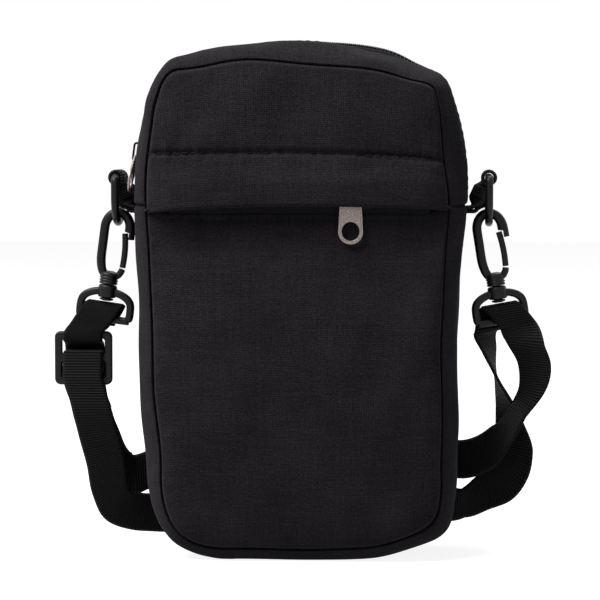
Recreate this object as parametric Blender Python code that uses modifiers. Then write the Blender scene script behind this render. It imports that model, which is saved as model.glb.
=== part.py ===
"""A small zipped travel pouch with a front pocket and a clip-on shoulder strap.

The pouch stands upright on its flat base: +Z is up, the front pocket faces -Y and
the origin is the middle of the base. Sizes are in metres.
"""

import math
from typing import Callable, NamedTuple

import bmesh
import bpy
from mathutils import Matrix, Vector

MM = 0.001

# Clearance between pieces that touch
GAP = 0.3 * MM

# Outline of the body, seen from the front: a chain of tangent arcs
BODY_HALF_WIDTH = 60 * MM
SEAM_HEIGHT = 127 * MM
BASE_CORNER_RADIUS = 32 * MM
BASE_TUCK = 4.2 * MM
BASE_HALF_FLAT = BODY_HALF_WIDTH - BASE_TUCK - BASE_CORNER_RADIUS
SIDE_RADIUS = 150 * MM
SIDE_SWEEP = math.radians(16.5)
SHOULDER_RADIUS = 16 * MM
SHOULDER_SWEEP = math.radians(57.5)

# How far the front and rear seams stand in from the crest of the gusset
SIDE_INSET = 4.2 * MM
TOP_INSET = 6.5 * MM
BASE_INSET = 5.0 * MM

# Depth and layers of the body
GUSSET_HALF_WIDTH = 17 * MM
GUSSET_FLAT_SHARE = 0.62
FABRIC = 1.2 * MM
POCKET_BACK = 0.8 * MM
LINING = 0.5 * MM
FOAM = 1.3 * MM
BINDING = 1.2 * MM
BINDING_WIDTH = 3.2 * MM
LINING_GUSSET_HALF_WIDTH = 12.6 * MM
SEAM_GAP_ANGLE = GAP / 2 / SIDE_RADIUS

# Front: the flap of the yoke hangs over the pocket zip
FLAP_HEIGHT = SEAM_HEIGHT - 1 * MM
FLAP_STITCH_HEIGHT = FLAP_HEIGHT + 19 * MM
YOKE_CROWN = 4.0 * MM
FLAP_RISE = 2.3 * MM
POCKET_TOP = FLAP_HEIGHT - 1.4 * MM
POCKET_CROWN = 4.9 * MM
POCKET_TOP_CROWN = 1.7 * MM
POCKET_FULL_HEIGHT = FLAP_HEIGHT - 48 * MM
POCKET_FLAT_HEIGHT = FLAP_HEIGHT - 14 * MM
BACK_CROWN = 3.5 * MM
ROLL_HEIGHT = 30 * MM

# Pulls of both zips
PULL_LENGTH = 16.6 * MM
PULL_TOP_HALF_WIDTH = 3.95 * MM
PULL_END_RADIUS = 4.4 * MM
PULL_HOLE_HALF_WIDTH = 3.0 * MM
PULL_HOLE_HALF_HEIGHT = 3.3 * MM
PULL_THICKNESS = 0.8 * MM
PULL_EYE_RADIUS = 2.1 * MM

# Webbing and its wire hardware
WEBBING_WIDTH = 14.5 * MM
WEBBING = 1.2 * MM
WIRE_RADIUS = 1.4 * MM

# D-rings and their tabs at the side seams
TAB_THICKNESS = 2.6 * MM
TAB_KNEE = 1.9 * MM
RING_BAR_OUT = 7.0 * MM
RING_BAR_UP = 9.8 * MM
D_RADIUS = 9.4 * MM
D_CORNER = 2.0 * MM
D_SIDE = 6.8 * MM

# Snap hooks, in a frame with the stem along Z and the collar's lower face at the origin
HOOK_LENGTH = 28 * MM
HOOK_ARM_RADIUS = 1.75 * MM
HOOK_NOSE_RADIUS = 2.0 * MM
HOOK_FOOT_RADIUS = 1.25 * MM
HOOK_HALF_WIDTH = 4.6 * MM
HOOK_OFFSET = 0.8 * MM
HOOK_SHOULDER = 20.5 * MM
NOSE_END = 16.9 * MM
NOSE_SEAT = 19.3 * MM
COLLAR_RADIUS = 3.4 * MM
COLLAR_HEIGHT = 4.2 * MM
STEM_RADIUS = 1.5 * MM
STEM_HEAD_RADIUS = 2.5 * MM
STEM_HEAD = 0.9 * MM
GATE_RADIUS = 1.1 * MM
GATE_ROOT = (4.4 * MM, 6.5 * MM)
RIGHT_HOOK_TILT = math.radians(9)
LEFT_HOOK_TILT = math.radians(-7.5)

# Swivel rings: a boss on the stem and a loop with a bar for the webbing
BOSS_RADIUS = 3.4 * MM
BOSS_HEIGHT = 4.6 * MM
SWIVEL_BAR_DROP = 12.6 * MM
SWIVEL_HALF_WIDTH = 9.4 * MM
SWIVEL_CORNER = 1.6 * MM
RIGHT_SWIVEL_TURN = math.radians(22)
LEFT_SWIVEL_TURN = math.radians(-8)

# Strap adjuster: three bars across the webbing
ADJUSTER_BAR = 2.8 * MM
ADJUSTER_SLOT = 5.6 * MM
ADJUSTER_THICKNESS = 2.4 * MM
ADJUSTER_OUT = 7.5 * MM
ADJUSTER_DROP = 14.5 * MM

# The strap: loose loops round the rings' bars, and two bands folded behind the pouch.
# The bands' heights are shares of the height of the rings' bars.
LOOP_RISE = 5.6 * MM
BAND_HALF_LENGTH = BODY_HALF_WIDTH * 0.8
BAND_DEPTH = GUSSET_HALF_WIDTH + 7 * MM
BAND_FOLD = 1.3 * MM
UPPER_BAND_SHARE = 0.444
LOWER_BAND_SHARE = 0.208
LOWER_BAND_SLOPE = 0.047
STRAP_LEAN = 0.3
TAIL_LENGTH = 18 * MM

# Colours, as linear red, green and blue
FABRIC_COLOUR = (0.016, 0.014, 0.016)
LINING_COLOUR = (0.03, 0.03, 0.033)
FOAM_COLOUR = (0.25, 0.25, 0.25)
WEBBING_COLOUR = (0.008, 0.008, 0.01)
PLASTIC_COLOUR = (0.012, 0.012, 0.014)
TAPE_COLOUR = (0.011, 0.011, 0.012)
METAL_COLOUR = (0.25, 0.22, 0.2)


class Station(NamedTuple):
    """A place on the outline: an arc's centre and radius, and the outward angle."""

    x: float
    z: float
    radius: float
    angle: float


class ZipSize(NamedTuple):
    """Sizes of a zip and of the slider that runs on it."""

    pitch: float
    root: float
    row: float
    row_height: float
    tape: float
    tape_reach: float
    plate: float
    slider_length: float
    flange: float


MAIN_ZIP = ZipSize(
    pitch=4.0 * MM,
    root=1.5 * MM,
    row=1.4 * MM,
    row_height=1.6 * MM,
    tape=0.5 * MM,
    tape_reach=9.5 * MM,
    plate=0.8 * MM,
    slider_length=12 * MM,
    flange=0.8 * MM,
)
FRONT_ZIP = ZipSize(
    pitch=4.0 * MM,
    root=1.3 * MM,
    row=1.1 * MM,
    row_height=1.2 * MM,
    tape=0.4 * MM,
    tape_reach=9.0 * MM,
    plate=0.6 * MM,
    slider_length=9 * MM,
    flange=0.6 * MM,
)
SLIDER_NECK = 0.5 * MM
SLIDER_NECK_LENGTH = 2.6 * MM
BAIL_RADIUS = 0.4 * MM
BAIL_HALF_LENGTH = 3.2 * MM
MAIN_SLIDER_ANGLE = math.radians(7.2)
MAIN_RUN_END = math.radians(14)
MAIN_PULL_SWING = math.radians(50)
FRONT_ZIP_HEIGHT = FLAP_HEIGHT + 2.8 * MM
FRONT_ZIP_HALF_LENGTH = BODY_HALF_WIDTH - 14 * MM
FRONT_SLIDER_X = 21.4 * MM

SIDE_CENTRE_X = BODY_HALF_WIDTH - SIDE_RADIUS
BODY_CENTRE = Vector((0, 0, SEAM_HEIGHT * 0.7))
FRONT_PLATE = GUSSET_HALF_WIDTH + GAP
FRONT_INNER = FRONT_PLATE + POCKET_BACK + GAP
FRONT_RIM = FRONT_INNER + FABRIC
BACK_RIM = GUSSET_HALF_WIDTH + GAP + FABRIC

# Where the gusset's fabric ends beside the main zip, and how deep the pocket zip lies
MAIN_FABRIC_EDGE = MAIN_ZIP.root + MAIN_ZIP.row + GAP + MAIN_ZIP.flange + 2 * MM
FRONT_ZIP_DEPTH = FRONT_INNER + FRONT_ZIP.plate + GAP + FABRIC + GAP + FRONT_ZIP.tape


# Scene and materials


def clear_scene() -> None:
    for obj in list(bpy.data.objects):
        bpy.data.objects.remove(obj)


def new_collection(name: str) -> bpy.types.Collection:
    collection = bpy.data.collections.new(name)
    bpy.context.scene.collection.children.link(collection)
    return collection


def new_material(name: str, colour: tuple, roughness: float, metallic: float = 0.0):
    material = bpy.data.materials.new(name)
    material.use_nodes = True
    shader = material.node_tree.nodes["Principled BSDF"]
    shader.inputs["Base Color"].default_value = (*colour, 1)
    shader.inputs["Roughness"].default_value = roughness
    shader.inputs["Metallic"].default_value = metallic
    material.diffuse_color = (*colour, 1)
    return material


clear_scene()
PARTS = new_collection("travel_pouch")
CUTTERS = new_collection("cutters")
SHELL_FABRIC = new_material("shell_fabric", FABRIC_COLOUR, 0.9)
LINING_FABRIC = new_material("lining_fabric", LINING_COLOUR, 0.8)
FOAM_SHEET = new_material("foam_sheet", FOAM_COLOUR, 0.95)
WEBBING_WEAVE = new_material("webbing_weave", WEBBING_COLOUR, 0.85)
HARDWARE_PLASTIC = new_material("hardware_plastic", PLASTIC_COLOUR, 0.35)
ZIP_TAPE = new_material("zip_tape", TAPE_COLOUR, 0.8)
ZIP_METAL = new_material("zip_metal", METAL_COLOUR, 0.35, 0.9)


# Objects and modifiers


def add_object(name: str, data, material=None, collection=None) -> bpy.types.Object:
    obj = bpy.data.objects.new(name, data)
    (collection or PARTS).objects.link(obj)
    if material:
        data.materials.append(material)
    return obj


def object_from_bmesh(name: str, mesh_maker: bmesh.types.BMesh, material, collection=None):
    data = bpy.data.meshes.new(name)
    mesh_maker.to_mesh(data)
    mesh_maker.free()
    return add_object(name, data, material, collection)


def shade(obj: bpy.types.Object, angle: float = math.radians(40)) -> None:
    obj.data.shade_smooth()
    obj.data.set_sharp_from_angle(angle=angle)


def as_cutter(obj: bpy.types.Object) -> bpy.types.Object:
    obj.hide_render = True
    obj.display_type = "WIRE"
    return obj


def join_or_cut(target: bpy.types.Object, tool: bpy.types.Object, operation: str) -> None:
    modifier = target.modifiers.new(operation.lower(), "BOOLEAN")
    modifier.operation = operation
    modifier.solver = "EXACT"
    modifier.object = as_cutter(tool)


def mesh_from_curve(curve_object: bpy.types.Object) -> bpy.types.Object:
    """The curve as a mesh object of the same name, with its caps welded."""
    graph = bpy.context.evaluated_depsgraph_get()
    data = bpy.data.meshes.new_from_object(curve_object.evaluated_get(graph))
    solid = bmesh.new()
    solid.from_mesh(data)
    bmesh.ops.remove_doubles(solid, verts=solid.verts, dist=0.0001 * MM)
    bmesh.ops.recalc_face_normals(solid, faces=solid.faces)
    solid.to_mesh(data)
    solid.free()
    name = curve_object.name
    collection = curve_object.users_collection[0]
    matrix = curve_object.matrix_world.copy()
    curve = curve_object.data
    bpy.data.objects.remove(curve_object)
    bpy.data.curves.remove(curve)
    obj = add_object(name, data, None, collection)
    obj.matrix_world = matrix
    return obj


def tube(name, points, radii, material, closed=False, resolution=2, collection=None):
    """A round wire or arm along the points; radii is one radius or one for each point."""
    if not isinstance(radii, (list, tuple)):
        radii = [radii] * len(points)
    curve = bpy.data.curves.new(name, "CURVE")
    curve.dimensions = "3D"
    curve.bevel_depth = 1
    curve.bevel_resolution = resolution
    curve.use_fill_caps = not closed
    spline = curve.splines.new("POLY")
    spline.points.add(len(points) - 1)
    spline.use_cyclic_u = closed
    for place, point, radius in zip(spline.points, points, radii):
        place.co = (*point, 1)
        place.radius = radius
    obj = add_object(name, curve, material, collection)
    return mesh_from_curve(obj)


def flat_piece(name, loops, low, high, bevel, material, collection=None):
    """A plate between two heights whose outline is the first loop and whose holes are the rest."""
    curve = bpy.data.curves.new(name, "CURVE")
    curve.dimensions = "2D"
    curve.fill_mode = "BOTH"
    curve.extrude = (high - low) / 2 - bevel
    curve.bevel_depth = bevel
    curve.bevel_resolution = 0
    curve.offset = -bevel
    for loop in loops:
        spline = curve.splines.new("POLY")
        spline.points.add(len(loop) - 1)
        spline.use_cyclic_u = True
        for place, point in zip(spline.points, loop):
            place.co = (*point, 0, 1)
    obj = mesh_from_curve(add_object(name, curve, material, collection))
    obj.data.transform(Matrix.Translation((0, 0, (low + high) / 2)))
    return obj


def block(name: str, low: tuple, high: tuple) -> bpy.types.Object:
    """A box between two corners, for cutting."""
    solid = bmesh.new()
    bmesh.ops.create_cube(solid, size=1)
    size = [b - a for a, b in zip(low, high)]
    middle = [(a + b) / 2 for a, b in zip(low, high)]
    bmesh.ops.scale(solid, vec=size, verts=solid.verts)
    bmesh.ops.translate(solid, vec=middle, verts=solid.verts)
    return object_from_bmesh(name, solid, None, CUTTERS)


def cylinder(name, radius, low, high, sides, material=None, collection=None):
    solid = bmesh.new()
    bmesh.ops.create_cone(
        solid, cap_ends=True, segments=sides, radius1=radius, radius2=radius, depth=high - low
    )
    bmesh.ops.translate(solid, vec=(0, 0, (low + high) / 2), verts=solid.verts)
    return object_from_bmesh(name, solid, material, collection)


def turned(name, profile, steps, material=None, collection=None):
    """A profile of radius and height pairs, from the top down, turned about Z."""
    solid = bmesh.new()
    verts = [solid.verts.new((radius, 0, height)) for radius, height in profile]
    for first, second in zip(verts, verts[1:]):
        solid.edges.new((first, second))
    obj = object_from_bmesh(name, solid, material, collection)
    screw = obj.modifiers.new("turn", "SCREW")
    screw.axis = "Z"
    screw.steps = steps
    screw.render_steps = steps
    screw.use_merge_vertices = True
    screw.merge_threshold = 0.001 * MM
    return obj


def circle(x: float, z: float, radius: float, steps: int, height: float = 0.0) -> list:
    height = height or radius
    turn = math.tau / steps
    return [
        (x + radius * math.cos(i * turn), z + height * math.sin(i * turn)) for i in range(steps)
    ]


def arc(x: float, z: float, radius: float, start: float, end: float, steps: int) -> list:
    angles = [start + (end - start) * i / steps for i in range(steps + 1)]
    return [(x + radius * math.cos(a), z + radius * math.sin(a)) for a in angles]


def rounded_rectangle(x, y, half_width, half_height, radius, steps=4) -> list:
    points = []
    for i, (across, up) in enumerate([(1, 1), (-1, 1), (-1, -1), (1, -1)]):
        corner_x = x + across * (half_width - radius)
        corner_y = y + up * (half_height - radius)
        start = i * math.pi / 2
        points += arc(corner_x, corner_y, radius, start, start + math.pi / 2, steps)
    return points


def smoothstep(value: float, start: float, end: float) -> float:
    share = min(max((value - start) / (end - start), 0), 1)
    return share * share * (3 - 2 * share)


# The outline of the body


def mirrored(station: Station) -> Station:
    return Station(-station.x, station.z, station.radius, math.pi - station.angle)


def arc_stations(x, z, radius, start, end, steps) -> list:
    return [Station(x, z, radius, start + (end - start) * i / steps) for i in range(steps + 1)]


def straight_stations(first: Station, last: Station, steps: int) -> list:
    """Stations along the line between two arcs that share a tangent."""
    stations = []
    for i in range(steps + 1):
        share = i / steps
        stations.append(
            Station(
                first.x + (last.x - first.x) * share,
                first.z + (last.z - first.z) * share,
                first.radius + (last.radius - first.radius) * share,
                first.angle,
            )
        )
    return stations


def side_taper() -> float:
    """The outward angle of the straight side, tangent to the base corner and to the side arc."""
    across = BASE_HALF_FLAT - SIDE_CENTRE_X
    up = BASE_CORNER_RADIUS - SEAM_HEIGHT
    spread = math.acos((SIDE_RADIUS - BASE_CORNER_RADIUS) / math.hypot(across, up))
    return math.atan2(up, across) + spread


def shoulder_centre() -> tuple:
    reach = SIDE_RADIUS - SHOULDER_RADIUS
    return (
        SIDE_CENTRE_X + reach * math.cos(SIDE_SWEEP),
        SEAM_HEIGHT + reach * math.sin(SIDE_SWEEP),
    )


def crest_arc() -> tuple:
    """Centre height, radius and end angle of the arc over the top."""
    x, z = shoulder_centre()
    angle = SIDE_SWEEP + SHOULDER_SWEEP
    reach = x / math.cos(angle)
    return z - reach * math.sin(angle), SHOULDER_RADIUS + reach, angle


def lower_right(end_angle: float = 0.0) -> list:
    """Stations from the middle of the base, round the right corner and up to the side seam."""
    taper = side_taper()
    base = Station(BASE_HALF_FLAT, BASE_CORNER_RADIUS, BASE_CORNER_RADIUS, -math.pi / 2)
    foot = Station(BASE_HALF_FLAT, BASE_CORNER_RADIUS, BASE_CORNER_RADIUS, taper)
    side = Station(SIDE_CENTRE_X, SEAM_HEIGHT, SIDE_RADIUS, taper)
    stations = straight_stations(base._replace(x=0.0), base, 2)
    stations += arc_stations(*base[:3], -math.pi / 2, taper, 6)[1:]
    stations += straight_stations(foot, side, 5)[1:]
    stations += arc_stations(*side[:3], taper, end_angle, 1)[1:]
    return stations


def upper_right(start_angle: float = 0.0) -> list:
    """Stations from the right side seam, round the shoulder, to the middle of the top."""
    crest_z, crest_radius, crest_start = crest_arc()
    stations = arc_stations(
        SIDE_CENTRE_X, SEAM_HEIGHT, SIDE_RADIUS, start_angle, SIDE_SWEEP, 6
    )
    stations += arc_stations(
        *shoulder_centre(), SHOULDER_RADIUS, SIDE_SWEEP, crest_start, 5
    )[1:]
    stations += arc_stations(0.0, crest_z, crest_radius, crest_start, math.pi / 2, 3)[1:]
    return stations


def whole_way(right_half: list) -> list:
    """The right half's stations carried on to the left, from the left end to the right end."""
    return [mirrored(s) for s in reversed(right_half)] + right_half[1:]


def lower_way(end_angle: float = 0.0) -> list:
    return whole_way(lower_right(end_angle))


def upper_way(start_angle: float = 0.0) -> list:
    return whole_way(list(reversed(upper_right(start_angle))))


def closed_way() -> list:
    """Every station once round, from the left end of the base way."""
    return lower_way() + list(reversed(upper_way()))[1:-1]


def seam_inset(angle: float) -> float:
    """How far the seam stands in from the crest at this outward angle."""
    lift = math.sin(angle)
    far = TOP_INSET if lift > 0 else BASE_INSET
    return SIDE_INSET + (far - SIDE_INSET) * lift * lift


def section_drop(y: float) -> float:
    """The share of the inset at this depth: none over the flat middle, all at the seams."""
    share = (abs(y) / GUSSET_HALF_WIDTH - GUSSET_FLAT_SHARE) / (1 - GUSSET_FLAT_SHARE)
    return max(share, 0.0) ** 2


def outline_point(station: Station, inset: float, y: float) -> Vector:
    reach = station.radius - inset
    return Vector(
        (
            station.x + reach * math.cos(station.angle),
            y,
            station.z + reach * math.sin(station.angle),
        )
    )


def gusset_point(station: Station, y: float, inset: float = 0.0) -> Vector:
    return outline_point(station, inset + seam_inset(station.angle) * section_drop(y), y)


# Sheets of fabric


def grid_sheet(name: str, rows: list, thickness: float, material) -> bpy.types.Object:
    """A sheet through rows of points, facing away from the body's middle, with its thickness inside."""
    sheet = bmesh.new()
    grid = [[sheet.verts.new(point) for point in row] for row in rows]
    for near, far in zip(grid, grid[1:]):
        for i in range(len(near) - 1):
            sheet.faces.new((near[i], near[i + 1], far[i + 1], far[i]))
    sheet.normal_update()
    facing = sum(f.normal.dot(f.calc_center_median() - BODY_CENTRE) for f in sheet.faces)
    if facing < 0:
        bmesh.ops.reverse_faces(sheet, faces=sheet.faces)
    obj = object_from_bmesh(name, sheet, material)
    solidify = obj.modifiers.new("thickness", "SOLIDIFY")
    solidify.thickness = thickness
    solidify.offset = -1
    solidify.use_even_offset = True
    shade(obj)
    return obj


def outline_sheet(name, inset, depth, thickness, material) -> bpy.types.Object:
    """A flat sheet of the body's outline; depth is its outer face's distance from the middle."""
    sheet = bmesh.new()
    stations = closed_way()
    verts = [
        sheet.verts.new(outline_point(s, seam_inset(s.angle) + inset, depth)) for s in stations
    ]
    face = sheet.faces.new(verts)
    face.normal_update()
    if face.normal.y * depth < 0:
        face.normal_flip()
    obj = object_from_bmesh(name, sheet, material)
    solidify = obj.modifiers.new("thickness", "SOLIDIFY")
    solidify.thickness = thickness
    solidify.offset = -1
    return obj


def panel_rows(stations: list, bows: list, depth_at: Callable, front: int, columns=14):
    """Rows across a panel between the seams, each bowed up by its own amount."""
    rows = []
    for station, bow in zip(stations, bows):
        end = outline_point(station, seam_inset(station.angle), 0)
        row = []
        for i in range(columns + 1):
            across = math.sin(math.pi / 2 * (2 * i / columns - 1))
            height = end.z + bow * (1 - across * across)
            row.append(Vector((end.x * across, -front * depth_at(across, height), height)))
        rows.append(row)
    return rows


def side_fade(across: float) -> float:
    return 1 - abs(across) ** 6


def rise_from(height: float, low: float) -> float:
    """0 at the seam, 1 from a roll's height above it."""
    share = min(max((height - low) / ROLL_HEIGHT, 0), 1)
    return 1 - (1 - share) ** 3


def station_at_height(height: float) -> Station:
    angle = math.asin((height - SEAM_HEIGHT) / SIDE_RADIUS)
    return Station(SIDE_CENTRE_X, SEAM_HEIGHT, SIDE_RADIUS, angle)


def top_of_panel() -> float:
    crest_z, crest_radius, _ = crest_arc()
    return crest_z + crest_radius - TOP_INSET


def upper_stations_and_bows(start: float) -> tuple:
    """Stations up to the shoulder's end, with each row's bow growing to the crest's own rise."""
    end_angle = crest_arc()[2]
    stations = [s for s in upper_right(start) if s.angle <= end_angle + 1e-6]
    last = outline_point(stations[-1], seam_inset(end_angle), 0).z
    rise = top_of_panel() - last
    low = outline_point(stations[0], seam_inset(start), 0).z
    bows = []
    for station in stations:
        height = outline_point(station, seam_inset(station.angle), 0).z
        bows.append(rise * smoothstep(height, low, last))
    return stations, bows


def yoke_depth(across: float, height: float) -> float:
    """Bulges over the zip at the flap's edge and is drawn in at the stitch line above it."""
    share = min(max((height - FLAP_HEIGHT) / (top_of_panel() - FLAP_HEIGHT), 0), 1)
    crown = YOKE_CROWN * (1 - share**3)
    crown += FLAP_RISE * (1 - smoothstep(height, FRONT_ZIP_HEIGHT + 5 * MM, FLAP_STITCH_HEIGHT))
    return FRONT_RIM + crown * (1 - abs(across) ** 8)


def pocket_depth(across: float, height: float) -> float:
    """Full below, and pressed flat under the flap."""
    flat = smoothstep(height, POCKET_FULL_HEIGHT, POCKET_FLAT_HEIGHT)
    crown = POCKET_CROWN + (POCKET_TOP_CROWN - POCKET_CROWN) * flat
    return FRONT_RIM + crown * (1 - across**10) * rise_from(height, BASE_INSET)


def back_depth(across: float, height: float) -> float:
    down = rise_from(height, BASE_INSET)
    up = rise_from(2 * BASE_INSET + top_of_panel() - height, 2 * BASE_INSET)
    return BACK_RIM + BACK_CROWN * side_fade(across) * down * up


def panel_stations(end_angle: float) -> list:
    """The right half's stations below the side seam, without those along the flat base."""
    return [s for s in lower_right(end_angle) if s.x >= BASE_HALF_FLAT or s.angle > -1.5]


def make_panels() -> None:
    stations, bows = upper_stations_and_bows(station_at_height(FLAP_HEIGHT).angle)
    rows = panel_rows(stations, bows, yoke_depth, 1)
    grid_sheet("front_yoke_panel", rows, FABRIC, SHELL_FABRIC)

    lower = panel_stations(station_at_height(POCKET_TOP).angle)
    rows = panel_rows(lower, [0] * len(lower), pocket_depth, 1)
    grid_sheet("front_pocket_panel", rows, FABRIC, SHELL_FABRIC)

    upper, upper_bows = upper_stations_and_bows(0.0)
    below = panel_stations(0.0)
    rows = panel_rows(below, [0] * len(below), back_depth, -1)
    rows += panel_rows(upper[1:], upper_bows[1:], back_depth, -1)
    grid_sheet("back_panel", rows, FABRIC, SHELL_FABRIC)


def make_inner_layers() -> None:
    inside = FABRIC + GAP + BINDING + GAP
    foam_face = GUSSET_HALF_WIDTH - GAP
    lining_face = foam_face - FOAM - GAP
    outline_sheet("pocket_back_panel", 0, -(FRONT_PLATE + POCKET_BACK), POCKET_BACK, LINING_FABRIC)
    for side, name in ((-1, "front"), (1, "back")):
        outline_sheet(f"foam_{name}", inside, side * foam_face, FOAM, FOAM_SHEET)
        outline_sheet(f"lining_{name}", inside, side * lining_face, LINING, LINING_FABRIC)
    edge = GUSSET_HALF_WIDTH * GUSSET_FLAT_SHARE
    depths = (-LINING_GUSSET_HALF_WIDTH, -edge, edge, LINING_GUSSET_HALF_WIDTH)
    way = lower_way(-SEAM_GAP_ANGLE)
    rows = [[gusset_point(s, y, FABRIC + 2 * GAP) for y in depths] for s in way]
    grid_sheet("lining_gusset", rows, LINING, LINING_FABRIC)
    for side, name in ((-1, "front"), (1, "rear")):
        make_binding(f"seam_binding_{name}", side)


def make_binding(name: str, side: int) -> None:
    """A tape folded over the seam allowance, once round inside the seam."""
    outer = side * (GUSSET_HALF_WIDTH - GAP / 2)
    inner = side * (GUSSET_HALF_WIDTH - BINDING_WIDTH)
    corners = [(FABRIC, outer), (FABRIC, inner), (FABRIC + BINDING, inner), (FABRIC + BINDING, outer)]
    solid = bmesh.new()
    rings = []
    for station in closed_way():
        inset = seam_inset(station.angle)
        rings.append([solid.verts.new(outline_point(station, inset + n, y)) for n, y in corners])
    for near, far in zip(rings, rings[1:] + rings[:1]):
        for i in range(4):
            solid.faces.new((near[i], near[i - 1], far[i - 1], far[i]))
    bmesh.ops.recalc_face_normals(solid, faces=solid.faces)
    object_from_bmesh(name, solid, LINING_FABRIC)


def make_gussets() -> None:
    edge = GUSSET_HALF_WIDTH * GUSSET_FLAT_SHARE
    outward = [edge + (GUSSET_HALF_WIDTH - edge) * share for share in (0, 0.4, 0.75, 1)]
    depths = [-y for y in reversed(outward)] + outward
    rows = [[gusset_point(s, y) for y in depths] for s in lower_way(-SEAM_GAP_ANGLE)]
    gusset = grid_sheet("lower_gusset", rows, FABRIC, SHELL_FABRIC)
    notch = WEBBING_WIDTH / 2 + GAP
    notch_low = SEAM_HEIGHT - GAP - TAB_THICKNESS - GAP
    reach = BODY_HALF_WIDTH + 5 * MM
    cut = block("tab_notches", (-reach, -notch, notch_low), (reach, notch, SEAM_HEIGHT))
    join_or_cut(gusset, cut, "DIFFERENCE")

    way = upper_way(SEAM_GAP_ANGLE)
    outward = [MAIN_FABRIC_EDGE] + outward
    for side, name in ((-1, "front"), (1, "rear")):
        rows = [[gusset_point(s, side * y) for y in outward] for s in way]
        grid_sheet(f"zip_gusset_{name}", rows, FABRIC, SHELL_FABRIC)


# Zips


def slit_half() -> float:
    return SLIDER_NECK / 2 + GAP


def zip_half(name, place: Callable, length: float, size: ZipSize, side: int, run: tuple):
    """One tape with its row of teeth, as a comb that follows a path.

    place turns a distance along the path, a distance across it and a height into a point.
    Over the slider's run the teeth stand back from the middle, to leave its neck a way;
    beyond it they reach between the other half's teeth.
    """
    tooth_width = size.pitch / 2 - GAP
    shift = 0.0 if side > 0 else size.pitch / 2
    edge = size.root + size.row
    low = -(FABRIC + GAP + size.tape)
    high = low + size.row_height
    section = [
        (size.root, low),
        (size.tape_reach, low),
        (size.tape_reach, low + size.tape),
        (edge, low + size.tape),
        (edge, high),
        (size.root, high),
    ]
    count = int((length - size.pitch) / size.pitch)
    starts = [(length - count * size.pitch) / 2 + shift + i * size.pitch for i in range(count)]
    stops = sorted([0.0, length] + starts + [s + tooth_width for s in starts])
    solid = bmesh.new()
    rings = [
        [solid.verts.new(place(s, side * across, up)) for across, up in section] for s in stops
    ]
    solid.faces.new(rings[0])
    solid.faces.new(rings[-1])
    for near, far, start in zip(rings, rings[1:], stops):
        for i in range(5):
            solid.faces.new((near[i], near[i + 1], far[i + 1], far[i]))
        if start not in starts:
            solid.faces.new((near[5], near[0], far[0], far[5]))
            continue
        middle = start + tooth_width / 2
        near_run = run[0] < middle < run[1]
        tip = slit_half() if near_run else GAP - size.root
        slim = tooth_width * 0.12
        tips = []
        for s, ring_up in (
            (start + slim, low),
            (start + tooth_width - slim, low),
            (start + tooth_width - slim, high),
            (start + slim, high),
        ):
            tips.append(solid.verts.new(place(s, side * tip, ring_up)))
        base = [near[0], far[0], far[5], near[5]]
        solid.faces.new(tips)
        for i in range(4):
            solid.faces.new((base[i - 1], base[i], tips[i], tips[i - 1]))
    bmesh.ops.recalc_face_normals(solid, faces=solid.faces)
    return object_from_bmesh(name, solid, ZIP_TAPE)


def crest_pieces() -> list:
    """The arcs over the top from the left side seam to the right, as centre, radius and angles."""
    crest_z, crest_radius, crest_start = crest_arc()
    shoulder_x, shoulder_z = shoulder_centre()
    half = math.pi
    return [
        (-SIDE_CENTRE_X, SEAM_HEIGHT, SIDE_RADIUS, half, half - SIDE_SWEEP),
        (-shoulder_x, shoulder_z, SHOULDER_RADIUS, half - SIDE_SWEEP, half - crest_start),
        (0.0, crest_z, crest_radius, half - crest_start, crest_start),
        (shoulder_x, shoulder_z, SHOULDER_RADIUS, crest_start, SIDE_SWEEP),
        (SIDE_CENTRE_X, SEAM_HEIGHT, SIDE_RADIUS, SIDE_SWEEP, 0.0),
    ]


def crest_length() -> float:
    return sum(radius * (start - end) for _, _, radius, start, end in crest_pieces())


def crest_place(start_at: float) -> Callable:
    """A function that puts a point beside the crest, measured from a start along it."""
    pieces = crest_pieces()

    def place(along: float, across: float, up: float) -> Vector:
        left = along + start_at
        for x, z, radius, start, end in pieces:
            if left <= radius * (start - end) or end == 0.0:
                break
            left -= radius * (start - end)
        angle = start - left / radius
        reach = radius + up
        return Vector((x + reach * math.cos(angle), across, z + reach * math.sin(angle)))

    return place


def front_zip_place(along: float, across: float, up: float) -> Vector:
    return Vector(
        (along - FRONT_ZIP_HALF_LENGTH, -(FRONT_ZIP_DEPTH + up), FRONT_ZIP_HEIGHT + across)
    )


def make_zips() -> None:
    start = 0.6 * MM
    length = crest_length() - 2 * start
    clear = MAIN_ZIP.slider_length / 2 + GAP
    run = (0.0, SIDE_RADIUS * MAIN_RUN_END + clear - start)
    for side, name in ((-1, "front"), (1, "rear")):
        zip_half(f"main_zip_{name}_half", crest_place(start), length, MAIN_ZIP, side, run)
    for side, name in ((1, "upper"), (-1, "lower")):
        zip_half(
            f"front_zip_{name}_half",
            front_zip_place,
            2 * FRONT_ZIP_HALF_LENGTH,
            FRONT_ZIP,
            side,
            (0.0, 2 * FRONT_ZIP_HALF_LENGTH),
        )


def slider_frame(origin: Vector, travel: Vector, normal: Vector) -> Matrix:
    width = normal.cross(travel)
    turn = Matrix((travel, width, normal)).transposed().to_4x4()
    return Matrix.Translation(origin) @ turn


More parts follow.
